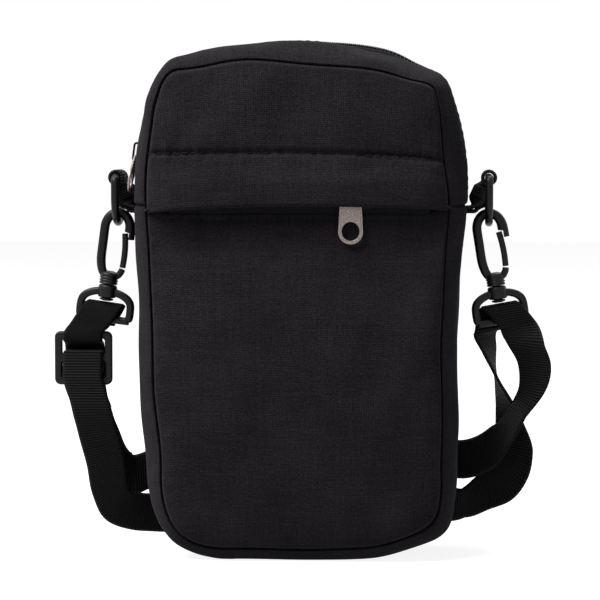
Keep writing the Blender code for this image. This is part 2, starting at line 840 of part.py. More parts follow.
def make_slider(name: str, size: ZipSize) -> bpy.types.Object:
    """Two plates round the teeth, joined by a neck at the wide end, with a wire bail on top."""
    low = -(FABRIC + GAP + size.tape)
    high = low + size.row_height
    channel = size.root + size.row + GAP
    half_width = channel + size.flange
    half = size.slider_length / 2
    nose = half_width * 0.8
    outline = [(half, -nose * 0.8), (half, nose * 0.8), (half - 1.2 * MM, nose)]
    outline += [(-half * 0.1, half_width), (-half * 0.6, half_width)]
    outline += [(-half, half_width * 0.55), (-half, -half_width * 0.55)]
    outline += [(-half * 0.6, -half_width), (-half * 0.1, -half_width), (half - 1.2 * MM, -nose)]
    bottom = low - GAP - size.plate
    top = high + GAP + size.plate
    slider = flat_piece(name, [outline], bottom, top, 0.15 * MM, ZIP_METAL)
    far = size.slider_length
    inner_low = low - GAP
    inner_high = high + GAP
    neck = SLIDER_NECK / 2
    cuts = {
        "left_channel": ((-far, -channel, inner_low), (far, -neck, inner_high)),
        "right_channel": ((-far, neck, inner_low), (far, channel, inner_high)),
        "middle": (
            (-half + SLIDER_NECK_LENGTH, -2 * neck, inner_low),
            (far, 2 * neck, inner_high),
        ),
        "tape_slot": ((-far, -far, inner_low), (far, -channel + GAP, low + size.tape + GAP)),
        "other_tape_slot": ((-far, channel - GAP, inner_low), (far, far, low + size.tape + GAP)),
    }
    for cut_name, (low_corner, high_corner) in cuts.items():
        join_or_cut(slider, block(f"{name}_{cut_name}", low_corner, high_corner), "DIFFERENCE")
    bail_top = top + 2 * GAP + PULL_THICKNESS + BAIL_RADIUS
    span = BAIL_HALF_LENGTH
    points = [(-span, 0, top - size.plate / 2), (-span, 0, bail_top - 0.4 * MM)]
    points += [(-span + 0.4 * MM, 0, bail_top), (span - 0.4 * MM, 0, bail_top)]
    points += [(span, 0, bail_top - 0.4 * MM), (span, 0, top - size.plate / 2)]
    bail = tube(f"{name}_bail", points, BAIL_RADIUS, None, collection=CUTTERS)
    join_or_cut(slider, bail, "UNION")
    return slider


def make_pull(name: str, size: ZipSize) -> bpy.types.Object:
    """A flat tab with a round end and a finger hole; its eye goes round a leg of the bail."""
    top = size.row_height + GAP + size.plate - (FABRIC + GAP + size.tape)
    end = -(PULL_LENGTH - PULL_END_RADIUS)
    outline = arc(0, 0, PULL_EYE_RADIUS, 0, math.pi, 6)
    outline += [(-PULL_TOP_HALF_WIDTH, -2.3 * MM)]
    outline += arc(0, end, PULL_END_RADIUS, math.pi, 2 * math.pi, 12)
    outline += [(PULL_TOP_HALF_WIDTH, -2.3 * MM)]
    eye = circle(0, 0, BAIL_RADIUS + GAP, 8)
    hole = circle(0, end + 0.2 * MM, PULL_HOLE_HALF_WIDTH, 16, PULL_HOLE_HALF_HEIGHT)
    low = top + GAP
    return flat_piece(
        name, [outline, eye, hole], low, low + PULL_THICKNESS, 0.12 * MM, ZIP_METAL
    )


def main_slider_frame() -> Matrix:
    angle = math.pi - MAIN_SLIDER_ANGLE
    normal = Vector((math.cos(angle), 0, math.sin(angle)))
    centre = Vector((-SIDE_CENTRE_X, 0, SEAM_HEIGHT))
    travel = Vector((math.sin(angle), 0, -math.cos(angle)))
    return slider_frame(centre + normal * SIDE_RADIUS, travel, normal)


def front_slider_frame() -> Matrix:
    origin = Vector((FRONT_SLIDER_X, -FRONT_ZIP_DEPTH, FRONT_ZIP_HEIGHT))
    return slider_frame(origin, Vector((-1, 0, 0)), Vector((0, -1, 0)))


def empty_at(name: str, matrix: Matrix) -> bpy.types.Object:
    empty = add_object(name, None)
    empty.matrix_world = matrix
    return empty


def carry(obj: bpy.types.Object, parent: bpy.types.Object, matrix: Matrix) -> None:
    """Parents an object and places it in the world."""
    obj.parent = parent
    obj.matrix_parent_inverse = parent.matrix_world.inverted()
    obj.matrix_world = matrix


def place_with_tools(obj: bpy.types.Object, matrix: Matrix) -> None:
    """Places an object, and the tools that its modifiers use, in the world."""
    obj.matrix_world = matrix
    for modifier in obj.modifiers:
        if modifier.type == "BOOLEAN":
            place_with_tools(modifier.object, matrix)


def make_sliders() -> None:
    axis = empty_at(
        "main_slider_run_axis", Matrix.Translation((-SIDE_CENTRE_X, 0, SEAM_HEIGHT))
    )
    frame = main_slider_frame()
    slider = make_slider("main_slider", MAIN_ZIP)
    place_with_tools(slider, frame)
    carry(slider, axis, frame)
    leg = Matrix.Translation((-BAIL_HALF_LENGTH, 0, 0))
    hang = Matrix.Rotation(-math.pi / 2 + MAIN_PULL_SWING, 4, "Z")
    pull = make_pull("main_pull", MAIN_ZIP)
    carry(pull, slider, frame @ leg @ hang)

    frame = front_slider_frame()
    slider = make_slider("front_slider", FRONT_ZIP)
    place_with_tools(slider, frame)
    leg = Matrix.Translation((BAIL_HALF_LENGTH, 0, 0))
    pull = make_pull("front_pull", FRONT_ZIP)
    carry(pull, slider, frame @ leg @ Matrix.Rotation(math.pi, 4, "Z"))


# D-rings and their tabs


def ring_bar(side: int) -> Vector:
    return Vector((side * (BODY_HALF_WIDTH + RING_BAR_OUT), 0, SEAM_HEIGHT + RING_BAR_UP))


def ring_arc_centre(side: int) -> Vector:
    """Middle of the round end of the D, on the line that the strap swings about."""
    return ring_bar(side) - Vector((0, 0, D_SIDE))


def make_tab(name: str, side: int) -> None:
    """Webbing doubled round the ring's bar, with its tail sewn into the side seam."""
    half = TAB_THICKNESS / 2
    seam_z = SEAM_HEIGHT - GAP / 2 - GAP / 2 - half
    tail = Vector((BODY_HALF_WIDTH - FABRIC, seam_z))
    knee = Vector((BODY_HALF_WIDTH + TAB_KNEE, seam_z))
    bar = ring_bar(1)
    head = Vector((bar.x, bar.z))
    along = (head - knee).normalized()
    head_radius = WIRE_RADIUS + GAP + WEBBING
    half_turn = math.asin(half / head_radius)
    back = math.atan2(-along.y, -along.x)
    bend = math.tan((math.pi / 2 - math.atan2(along.x, along.y)) / 2)
    outline = [tail + Vector((0, -half)), knee + Vector((half * bend, -half))]
    outline += arc(head.x, head.y, head_radius, back + half_turn, back + math.tau - half_turn, 12)
    outline += [knee + Vector((-half * bend, half)), tail + Vector((0, half))]
    outline = [tuple(point) for point in outline]
    hole = circle(head.x, head.y, WIRE_RADIUS + GAP, 12)
    loops = [[(side * x, z) for x, z in loop] for loop in (outline, hole)]
    tab = flat_piece(
        name, loops, -WEBBING_WIDTH / 2, WEBBING_WIDTH / 2, 0.2 * MM, WEBBING_WEAVE
    )
    tab.matrix_world = Matrix.Rotation(math.pi / 2, 4, "X")


def make_d_ring(name: str, side: int) -> None:
    """A wire D whose straight bar lies in the tab and whose round end hangs down."""
    corner = D_CORNER
    points = arc(D_RADIUS - corner, -corner, corner, math.pi / 2, 0, 3)
    points += arc(0, -D_SIDE, D_RADIUS, 0, -math.pi, 14)
    points += arc(-(D_RADIUS - corner), -corner, corner, math.pi, math.pi / 2, 3)
    ring = tube(name, [(0, y, z) for y, z in points], WIRE_RADIUS, HARDWARE_PLASTIC, closed=True)
    ring.location = ring_bar(side)
    shade(ring)


# Snap hooks, gates and swivel rings


def hook_frame(side: int) -> Matrix:
    """The stem's frame: its Z runs up the stem, and the hook hangs on the D's wire."""
    tilt = RIGHT_HOOK_TILT if side > 0 else LEFT_HOOK_TILT
    turn = Matrix.Rotation(-tilt, 4, "Y")
    wire = ring_arc_centre(side) - Vector((0, 0, D_RADIUS))
    wire_in_hook = Vector((HOOK_OFFSET, 0, HOOK_LENGTH - 2 * HOOK_ARM_RADIUS - GAP - WIRE_RADIUS))
    return Matrix.Translation(wire - turn.to_3x3() @ wire_in_hook) @ turn


def hook_points() -> tuple:
    """Centre line and radii: from the gate's foot, up the spine, over the top, down the nose."""
    left = HOOK_OFFSET - HOOK_HALF_WIDTH
    right = HOOK_OFFSET + HOOK_HALF_WIDTH
    rise = HOOK_LENGTH - HOOK_ARM_RADIUS - HOOK_SHOULDER
    foot = [(0.95, 0.214), (0.85, 0.164), (0.61, 0.118), (0.2, 0.093), (-0.26, 0.104)]
    foot += [(-0.59, 0.164), (-0.76, 0.257)]
    points = [(x * HOOK_HALF_WIDTH, z * HOOK_LENGTH) for x, z in foot]
    points += [(left, HOOK_SHOULDER * 0.49), (left, HOOK_SHOULDER * 0.73)]
    steps = 10
    for i in range(steps + 1):
        angle = math.pi * (1 - i / steps)
        x = HOOK_OFFSET + HOOK_HALF_WIDTH * math.cos(angle)
        points.append((x, HOOK_SHOULDER + rise * math.sin(angle)))
    points.append((right + 0.1 * MM, NOSE_END))
    radii = []
    for i in range(len(points)):
        near_foot = smoothstep(len(foot) - i, 0, len(foot))
        near_nose = smoothstep(i, len(points) - steps / 2, len(points) - 1)
        radius = HOOK_ARM_RADIUS + (HOOK_NOSE_RADIUS - HOOK_ARM_RADIUS) * near_nose
        radii.append(radius + (HOOK_FOOT_RADIUS - HOOK_ARM_RADIUS) * near_foot)
    return [(x, 0, z) for x, z in points], radii


def make_hook(side_name: str, side: int) -> None:
    frame = hook_frame(side)
    points, radii = hook_points()
    hook = tube(f"{side_name}_hook", points, radii, HARDWARE_PLASTIC, resolution=3)
    groove = 0.25 * MM
    boss_bottom = -(GAP + BOSS_HEIGHT)
    head_top = boss_bottom - GAP
    profile = [
        (0, COLLAR_HEIGHT),
        (COLLAR_RADIUS - 0.5 * MM, COLLAR_HEIGHT),
        (COLLAR_RADIUS, COLLAR_HEIGHT - 0.5 * MM),
        (COLLAR_RADIUS, 2.1 * MM),
        (COLLAR_RADIUS - groove, 1.8 * MM),
        (COLLAR_RADIUS, 1.5 * MM),
        (COLLAR_RADIUS, 0.3 * MM),
        (COLLAR_RADIUS - 0.3 * MM, 0),
        (STEM_RADIUS, 0),
        (STEM_RADIUS, head_top),
        (STEM_HEAD_RADIUS, head_top),
        (STEM_HEAD_RADIUS, head_top - STEM_HEAD * 0.6),
        (STEM_HEAD_RADIUS * 0.6, head_top - STEM_HEAD),
        (0, head_top - STEM_HEAD),
    ]
    base = turned(f"{side_name}_hook_base", profile, 16, collection=CUTTERS)
    join_or_cut(hook, base, "UNION")
    wall = HOOK_OFFSET + HOOK_HALF_WIDTH
    notch = block(
        f"{side_name}_hook_notch",
        (0, -4 * MM, NOSE_END - 2 * MM),
        (wall, 4 * MM, NOSE_SEAT),
    )
    join_or_cut(hook, notch, "DIFFERENCE")
    place_with_tools(hook, frame)
    shade(hook)
    make_gate(side_name, frame)
    make_swivel(side_name, side)


def make_gate(side_name: str, frame: Matrix) -> None:
    """The springy arm that closes the hook; its tip lies behind the nose's outer wall."""
    root_x, root_z = GATE_ROOT
    tip_x = HOOK_OFFSET + HOOK_HALF_WIDTH - GAP - GATE_RADIUS - 0.2 * MM
    tip_z = NOSE_SEAT - GAP
    bow = 0.4 * MM
    points = []
    steps = 6
    for i in range(steps + 1):
        share = i / steps
        x = root_x + (tip_x - root_x) * share + bow * math.sin(math.pi * share)
        points.append((x - root_x, 0, (tip_z - root_z) * share))
    gate = tube(f"{side_name}_gate", points, GATE_RADIUS, HARDWARE_PLASTIC)
    gate.matrix_world = frame @ Matrix.Translation((root_x, 0, root_z))
    shade(gate)


def swivel_points() -> list:
    """The loop, once round from the boss: an arch to each side and a straight bar below."""
    half = SWIVEL_HALF_WIDTH
    corner = SWIVEL_CORNER
    bar = -SWIVEL_BAR_DROP
    top = -(GAP + BOSS_HEIGHT / 2)
    arch_side = bar * 0.65
    right = []
    for i in range(7):
        angle = math.pi / 2 * (1 - i / 6)
        x = half * math.cos(angle)
        right.append((x, arch_side + (top - arch_side) * math.sin(angle) ** 0.8))
    right += arc(half - corner, bar + corner, corner, 0, -math.pi / 2, 3)
    left = [(-x, z) for x, z in reversed(right)]
    return [(x, 0, z) for x, z in right + left[:-1]]


def ring_frame(side: int) -> Matrix:
    """The hook's frame turned about the stem, so that its X runs along the ring's bar."""
    turn = RIGHT_SWIVEL_TURN if side > 0 else LEFT_SWIVEL_TURN
    return hook_frame(side) @ Matrix.Rotation(turn, 4, "Z")


def make_swivel(side_name: str, side: int) -> None:
    name = f"{side_name}_swivel_ring"
    low = -(GAP + BOSS_HEIGHT)
    ring = cylinder(name, BOSS_RADIUS, low, -GAP, 16, HARDWARE_PLASTIC)
    loop = tube(f"{name}_loop", swivel_points(), WIRE_RADIUS, None, True, collection=CUTTERS)
    join_or_cut(ring, loop, "UNION")
    bore = cylinder(f"{name}_bore", STEM_RADIUS + GAP, low - MM, MM, 16, None, CUTTERS)
    join_or_cut(ring, bore, "DIFFERENCE")
    place_with_tools(ring, ring_frame(side))
    shade(ring)


# The strap


class Place(NamedTuple):
    """A point on the webbing's centre line and the direction across its width."""

    point: Vector
    width: Vector


def ring_loop(side: int, lean_behind: float, lean_before: float) -> list:
    """Webbing over a ring's bar, from behind it to the front, leaning as it goes down."""
    frame = ring_frame(side)
    width = (frame.to_3x3() @ Vector((1, 0, 0))).normalized()
    reach = WIRE_RADIUS + 2 * GAP + WEBBING / 2
    steps = 8
    low = -2.6 * MM
    outline = [(1.0, low)]
    for i in range(steps + 1):
        angle = math.pi * i / steps
        depth = math.copysign(abs(math.cos(angle)) ** 0.6, math.cos(angle))
        outline.append((depth, LOOP_RISE * math.sin(angle)))
    outline.append((-1.0, low))
    places = []
    for depth, height in outline:
        lean = lean_behind if depth > 0 else lean_before
        shift = lean * (LOOP_RISE - height)
        point = frame @ Vector((shift, reach * depth, height - SWIVEL_BAR_DROP))
        places.append(Place(point, width))
    return places


def bar_middle(side: int) -> Vector:
    """Middle of the ring's bar that the webbing goes round."""
    return ring_frame(side) @ Vector((0, 0, -SWIVEL_BAR_DROP))


def adjuster_centre() -> Vector:
    bar = bar_middle(-1)
    return Vector((bar.x - ADJUSTER_OUT, 0, bar.z - ADJUSTER_DROP))


def free_run(side: int, *stops: tuple) -> list:
    """Places beside the pouch, each followed by the direction across the webbing.

    Each place is given as shares: of the body's half width outward, of the bands' depth
    backward and of the ring bar's height upward.
    """
    places = []
    for out, back, up, *width in stops:
        point = Vector((side * out * BODY_HALF_WIDTH, back * BAND_DEPTH, up * bar_middle(side).z))
        places.append(Place(point, Vector(width).normalized()))
    return places


def band(share: float, slope: float, direction: int) -> list:
    """Three passes behind the pouch, folded back at each end; direction is the first pass's."""
    width = Vector((0, 0, direction))
    height = share * bar_middle(1).z
    places = []
    for layer in range(3):
        depth = BAND_DEPTH + 2 * BAND_FOLD * layer
        heading = direction if layer % 2 == 0 else -direction
        for share in (-1, -0.96, 0.96, 1):
            x = heading * BAND_HALF_LENGTH * share
            places.append(Place(Vector((x, depth, height + slope * x)), width))
        if layer == 2:
            break
        for i in range(1, 4):
            angle = math.pi * i / 4
            x = heading * (BAND_HALF_LENGTH + BAND_FOLD * math.sin(angle))
            y = depth + BAND_FOLD * (1 - math.cos(angle))
            places.append(Place(Vector((x, y, height + slope * x)), width))
    return places


def beside_adjuster(steps: list, width: Vector) -> list:
    """Places from depths and heights measured from the adjuster's centre."""
    low = -(ADJUSTER_BAR / 2 + ADJUSTER_SLOT)
    places = []
    for depth, height in steps:
        lean = STRAP_LEAN * max(low - height, 0.0)
        point = adjuster_centre() + Vector((lean, depth, height))
        places.append(Place(point, width))
    return places


def through_adjuster() -> list:
    """Before the top bar, back through the upper slot and down behind the centre bar."""
    surface = ADJUSTER_THICKNESS / 2
    clear = GAP + WEBBING / 2
    top = ADJUSTER_BAR / 2 + ADJUSTER_SLOT
    behind = surface + clear + WEBBING + GAP
    steps = [(-surface - clear, top + ADJUSTER_BAR * 0.6)]
    steps += arc(-surface, top, clear, math.pi, 1.5 * math.pi, 2)
    steps += [(surface * 0.4, top - clear * 1.2), (behind * 0.64, top * 0.7)]
    steps += [(behind * 0.96, top * 0.43), (behind, 0.0), (behind, -top)]
    return beside_adjuster(steps, Vector((1, 0, 0)))


def round_adjuster() -> list:
    """Up before the bottom bar, over the centre bar and back down behind itself: the sewn end."""
    surface = ADJUSTER_THICKNESS / 2
    clear = GAP + WEBBING / 2
    bar = ADJUSTER_BAR / 2
    low = -(bar + ADJUSTER_SLOT)
    before = -surface - clear
    first = before - WEBBING - GAP
    steps = [(first, low - TAIL_LENGTH * 0.6), (first, low - TAIL_LENGTH * 0.2), (first, low)]
    steps += [(first * 0.8, low * 0.5)]
    steps += arc(-surface, bar, clear, math.pi, math.pi / 2, 2)
    steps += arc(surface, bar, clear, math.pi / 2, 0, 2)
    steps += arc(surface, -bar, clear, 0, -math.pi / 4, 1)
    steps += [(surface * 0.5, low * 0.57)]
    steps += [(before * 0.72, low * 0.77), (before, low), (before, low - TAIL_LENGTH * 0.6)]
    return beside_adjuster(steps, Vector((-1, 0, 0)))


def strap_places() -> list:
    """The whole strap, from its sewn end at the left ring to its sewn end on the adjuster."""
    places = ring_loop(-1, -0.45, -0.5)
    places += through_adjuster()
    places += free_run(
        -1,
        (1.292, 0.271, 0.655, 1, 0, 0.15),
        (1.225, 0.479, 0.567, 0.9, 0, 0.45),
        (1.117, 0.729, 0.491, 0.5, 0, 0.85),
        (0.983, 0.917, 0.454, 0.1, 0, 1),
    )
    places += band(UPPER_BAND_SHARE, 0.0, 1)
    places += free_run(
        1,
        (0.983, 1.104, 0.449, -0.1, 0, 1),
        (1.133, 0.75, 0.462, -0.35, -0.1, 0.9),
        (1.267, 0.25, 0.532, -0.75, -0.15, 0.6),
        (1.358, -0.062, 0.666, -0.95, -0.2, 0.3),
        (1.372, -0.167, 0.812, -0.95, -0.3, 0.05),
    )
    places += [Place(p.point, -p.width) for p in reversed(ring_loop(1, -0.35, 0.6))]
    places += free_run(
        1,
        (1.138, 0.208, 0.883, -0.95, -0.45, -0.1),
        (1.167, 0.333, 0.766, -0.7, -0.7, 0),
        (1.208, 0.438, 0.66, 0, -1, 0),
        (1.267, 0.5, 0.549, 0.7, -0.7, -0.1),
        (1.333, 0.5, 0.444, 0.95, -0.25, -0.2),
        (1.342, 0.542, 0.339, 0.9, -0.1, -0.5),
        (1.25, 0.688, 0.257, 0.45, 0, -0.9),
        (1.083, 0.875, 0.236, 0.1, 0, -1),
    )
    places += band(LOWER_BAND_SHARE, LOWER_BAND_SLOPE, -1)
    places += free_run(
        -1,
        (0.967, 1.083, 0.178, -0.15, 0, -1),
        (1.075, 0.812, 0.222, -0.5, 0, -0.85),
        (1.13, 0.438, 0.339, -0.82, 0, -0.55),
        (1.18, 0.062, 0.485, -0.95, 0, -0.28),
    )
    places += round_adjuster()
    return places


def smooth_places(places: list, divisions: int) -> list:
    """More places, on curves through the given ones whose slopes follow both neighbours."""
    points = [place.point for place in places]
    slopes = []
    for i in range(len(points)):
        before = points[i] - points[max(i - 1, 0)]
        after = points[min(i + 1, len(points) - 1)] - points[i]
        if not before.length or not after.length:
            slopes.append((before + after).normalized())
            continue
        ratio = after.length / before.length
        slopes.append((before * ratio + after / ratio) / (before.length + after.length))
    smoothed = []
    for i in range(len(points) - 1):
        length = (points[i + 1] - points[i]).length
        for j in range(divisions):
            t = j / divisions
            point = (
                points[i] * (1 + 2 * t) * (1 - t) ** 2
                + points[i + 1] * t * t * (3 - 2 * t)
                + slopes[i] * length * t * (1 - t) ** 2
                - slopes[i + 1] * length * t * t * (1 - t)
            )
            width = places[i].width.lerp(places[i + 1].width, t).normalized()
            smoothed.append(Place(point, width))
    return smoothed + [places[-1]]


def ribbon(name: str, places: list, material) -> bpy.types.Object:
    """A flat strip of the webbing's width and thickness along the places."""
    solid = bmesh.new()
    rings = []
    for i, place in enumerate(places):
        heading = places[min(i + 1, len(places) - 1)].point - places[max(i - 1, 0)].point
        side = place.width * WEBBING_WIDTH / 2
        thick = heading.cross(place.width).normalized() * WEBBING / 2
        corners = (side + thick, side - thick, -side - thick, -side + thick)
        rings.append([solid.verts.new(place.point + corner) for corner in corners])
    for near, far in zip(rings, rings[1:]):
        for i in range(4):
            solid.faces.new((near[i - 1], near[i], far[i], far[i - 1]))
    solid.faces.new(rings[0])
    solid.faces.new(rings[-1])
    bmesh.ops.recalc_face_normals(solid, faces=solid.faces)
    return object_from_bmesh(name, solid, material)


def make_strap() -> None:
    strap = ribbon("strap_webbing", smooth_places(strap_places(), 2), WEBBING_WEAVE)
    shade(strap)

    half_width = WEBBING_WIDTH / 2 + 0.5 * MM + ADJUSTER_BAR
    half_height = ADJUSTER_BAR * 1.5 + ADJUSTER_SLOT
    slot_half = half_width - ADJUSTER_BAR
    slot_centre = (ADJUSTER_BAR + ADJUSTER_SLOT) / 2
    loops = [rounded_rectangle(0, 0, half_width, half_height, 2.2 * MM)]
    for centre in (slot_centre, -slot_centre):
        loops.append(rounded_rectangle(0, centre, slot_half, ADJUSTER_SLOT / 2, 0.8 * MM, 2))
    thickness = ADJUSTER_THICKNESS / 2
    adjuster = flat_piece(
        "strap_adjuster", loops, -thickness, thickness, 0.4 * MM, HARDWARE_PLASTIC
    )
    place = Matrix.Translation(adjuster_centre()) @ Matrix.Rotation(math.pi / 2, 4, "X")
    adjuster.matrix_world = place


# Run


def main() -> None:
    make_panels()
    make_inner_layers()
    make_gussets()
    make_zips()
    make_sliders()
    for side, side_name in ((-1, "left"), (1, "right")):
        make_tab(f"{side_name}_ring_tab", side)
        make_d_ring(f"{side_name}_d_ring", side)
        make_hook(side_name, side)
    make_strap()


main()
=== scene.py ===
"""Looks of an upright zipped travel pouch with a clip-on webbing strap.

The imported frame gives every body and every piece's place. This script makes the fabric,
webbing, hardware and zips that are seen, at the same places, and the studio round them.
"""

import logging
import math
from dataclasses import dataclass
from enum import Enum
from typing import Callable, Iterable, Optional, Sequence, Union

import bmesh
import bpy
import numpy as np
from mathutils import Matrix, Vector


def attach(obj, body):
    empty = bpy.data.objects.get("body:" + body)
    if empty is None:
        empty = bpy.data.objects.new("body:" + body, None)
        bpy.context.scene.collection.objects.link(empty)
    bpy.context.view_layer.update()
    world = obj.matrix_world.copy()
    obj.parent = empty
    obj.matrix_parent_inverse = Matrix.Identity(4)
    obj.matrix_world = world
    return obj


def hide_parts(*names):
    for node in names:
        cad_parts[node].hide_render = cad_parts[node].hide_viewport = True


MM = 0.001
LOG = logging.getLogger("pouch")

Array = np.ndarray
Piece = bpy.types.Object
Material = bpy.types.Material
Tree = bpy.types.NodeTree
Node = bpy.types.Node
Socket = bpy.types.NodeSocket
Input = Union[float, tuple, Socket]

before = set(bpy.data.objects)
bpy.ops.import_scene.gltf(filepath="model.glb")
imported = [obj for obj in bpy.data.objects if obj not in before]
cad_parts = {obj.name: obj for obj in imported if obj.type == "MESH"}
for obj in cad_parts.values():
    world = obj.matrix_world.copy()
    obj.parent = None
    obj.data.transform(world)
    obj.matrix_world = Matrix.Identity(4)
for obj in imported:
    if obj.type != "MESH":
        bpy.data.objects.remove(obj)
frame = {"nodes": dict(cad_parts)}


class Slot(Enum):
    """Material slots."""

    SHELL = "shell_fabric"
    LINING = "lining_fabric"
    FOAM = "foam_sheet"
    WEBBING = "webbing_weave"
    PLASTIC = "hardware_plastic"
    TAPE = "zip_tape"
    METAL = "zip_metal"


class Side(Enum):
    """Left or right, as seen from the front."""

    LEFT = -1
    RIGHT = 1

    @property
    def word(self) -> str:
        """The side's word in the names of bodies and pieces."""
        return self.name.lower()


@dataclass(frozen=True)
class Fit:
    """Sizes that several pieces share, in metres."""

    gap: float = 0.3 * MM
    fabric: float = 1.2 * MM
    pocket_back: float = 0.8 * MM
    lining: float = 0.5 * MM
    foam: float = 1.3 * MM
    binding: float = 1.2 * MM
    binding_width: float = 3.2 * MM
    webbing: float = 1.2 * MM
    webbing_width: float = 14.5 * MM
    wire: float = 1.4 * MM


FIT = Fit()


# Small maths


def smooth_step(value: Array, start: float, end: float) -> Array:
    """0 before start, 1 after end, with a soft rise between."""
    share = np.clip((np.asarray(value, float) - start) / (end - start), 0, 1)
    return share * share * (3 - 2 * share)


def bump_at(x: Array, z: Array, middle: tuple, spread: tuple) -> Array:
    """A round hill of height 1 about a middle."""
    return np.exp(-(((x - middle[0]) / spread[0]) ** 2) - ((z - middle[1]) / spread[1]) ** 2)


def ripples(u: Array, v: Array, length: float, seed: int, count: int = 7) -> Array:
    """Soft uneven waves about one wavelength long, between -1 and 1."""
    chooser = np.random.RandomState(seed)
    total = np.zeros(np.broadcast(u, v).shape)
    for _ in range(count):
        turn = chooser.uniform(0, math.pi)
        wave = math.tau / (length * chooser.uniform(0.6, 1.6))
        total += np.sin(wave * (u * math.cos(turn) + v * math.sin(turn)) + chooser.uniform(0, 6))
    return total / math.sqrt(count) / 1.6


def lengths_along(points: Array) -> Array:
    """Length along a line at each of its points."""
    return np.concatenate([[0], np.cumsum(np.linalg.norm(np.diff(points, axis=0), axis=1))])


def along_curve(points: Array, step: float, closed: bool = False) -> Array:
    """Points at equal steps along a soft curve through the given ones.

    Args:
        points: Places that the curve goes through.
        step: Distance between the points that are given back.
        closed: Whether the curve is a loop.

    Returns:
        The points, one in each row.
    """
    points = np.asarray(points, float)
    count = len(points)
    dense = []
    for i in range(count if closed else count - 1):
        near = [(i + k) % count if closed else min(max(i + k, 0), count - 1) for k in (-1, 0, 1, 2)]
        p0, p1, p2, p3 = points[near]
        for t in np.linspace(0, 1, 12, endpoint=False):
            bend = (2 * p0 - 5 * p1 + 4 * p2 - p3) * t**2
            turn = (3 * p1 - p0 - 3 * p2 + p3) * t**3
            dense.append(0.5 * (2 * p1 + (p2 - p0) * t + bend + turn))
    dense.append(points[0] if closed else points[-1])
    dense = np.array(dense)
    gone = lengths_along(dense)
    steps = max(int(round(gone[-1] / step)), 3)
    places = np.linspace(0, gone[-1], steps + 1)
    if closed:
        places = places[:-1]
    return np.stack([np.interp(places, gone, dense[:, k]) for k in range(dense.shape[1])], 1)


def arc(x: float, z: float, radius: float, start: float, end: float, steps: int) -> list:
    """Points along an arc in a plane."""
    angles = np.linspace(start, end, steps + 1)
    return [(x + radius * math.cos(a), z + radius * math.sin(a)) for a in angles]


def rounded(points: Sequence, radius: float, steps: int = 4, closed: bool = True) -> list:
    """A polygon's points with each corner turned into a small arc.

    Args:
        points: The polygon's corners.
        radius: How far from a corner its arc starts.
        steps: Steps of each arc.
        closed: Whether the last corner joins the first.

    Returns:
        The points.
    """
    done = []
    count = len(points)
    for i in range(count):
        here = Vector(points[i])
        if not closed and i in (0, count - 1):
            done.append(tuple(here))
            continue
        before = Vector(points[i - 1]) - here
        after = Vector(points[(i + 1) % count]) - here
        reach = min(radius, before.length * 0.45, after.length * 0.45)
        start = here + before.normalized() * reach
        end = here + after.normalized() * reach
        for t in np.linspace(0, 1, steps + 1):
            done.append(tuple(start * (1 - t) ** 2 + here * 2 * t * (1 - t) + end * t**2))
    return done


# Mesh makers


def added(name: str, data: bpy.types.ID) -> Piece:
    """A new object in the scene."""
    obj = bpy.data.objects.new(name, data)
    bpy.context.scene.collection.objects.link(obj)
    return obj


def mesh_piece(
    name: str, verts: Array, faces: Sequence, uv: Optional[Array] = None
) -> Piece:
    """A smooth-shaded object from vertices and faces.

    Args:
        name: Name of the piece.
        verts: Vertices in the shared frame, in metres.
        faces: Vertex indices of each face.
        uv: Two lengths in metres for each vertex, or None.

    Returns:
        The new object.
    """
    data = bpy.data.meshes.new(name)
    data.from_pydata(np.asarray(verts, float).tolist(), [], [tuple(map(int, f)) for f in faces])
    if uv is not None:
        layer = data.uv_layers.new(name="lengths")
        loops = np.zeros(len(data.loops), np.int32)
        data.loops.foreach_get("vertex_index", loops)
        layer.data.foreach_set("uv", np.asarray(uv, np.float32)[loops].ravel())
    data.shade_smooth()
    return added(name, data)


def grid_faces(rows: int, columns: int, wrap: bool = False, loop: bool = False) -> list:
    """Quads of a grid of vertices; wrap joins its last column to its first, loop its rows."""
    faces = []
    for i in range(rows if loop else rows - 1):
        near = i * columns
        far = ((i + 1) % rows) * columns
        for j in range(columns if wrap else columns - 1):
            k = (j + 1) % columns
            faces.append((near + j, near + k, far + k, far + j))
    return faces


def paired(u: Array, v: Array) -> Array:
    """Lengths across and along for each point of a grid, row by row."""
    return np.stack(np.broadcast_arrays(u, v[:, None]), 2).reshape(-1, 2)


def grid_lengths(grid: Array) -> Array:
    """Real lengths along a grid's columns and rows, for the weave."""
    across = np.linalg.norm(np.diff(grid, axis=1), axis=2)
    along = np.linalg.norm(np.diff(grid, axis=0), axis=2)
    u = np.concatenate([np.zeros((grid.shape[0], 1)), np.cumsum(across, 1)], 1)
    u -= u.mean(1, keepdims=True)
    v = np.concatenate([[0], np.cumsum(along.mean(1))])
    return paired(u, v)


def face_outward(obj: Piece, weld: float = 0.0) -> Piece:
    """Turns every face of a closed piece outward, once points this near are welded."""
    solid = bmesh.new()
    solid.from_mesh(obj.data)
    if weld:
        bmesh.ops.remove_doubles(solid, verts=solid.verts, dist=weld)
    bmesh.ops.recalc_face_normals(solid, faces=solid.faces)
    solid.to_mesh(obj.data)
    solid.free()
    return obj


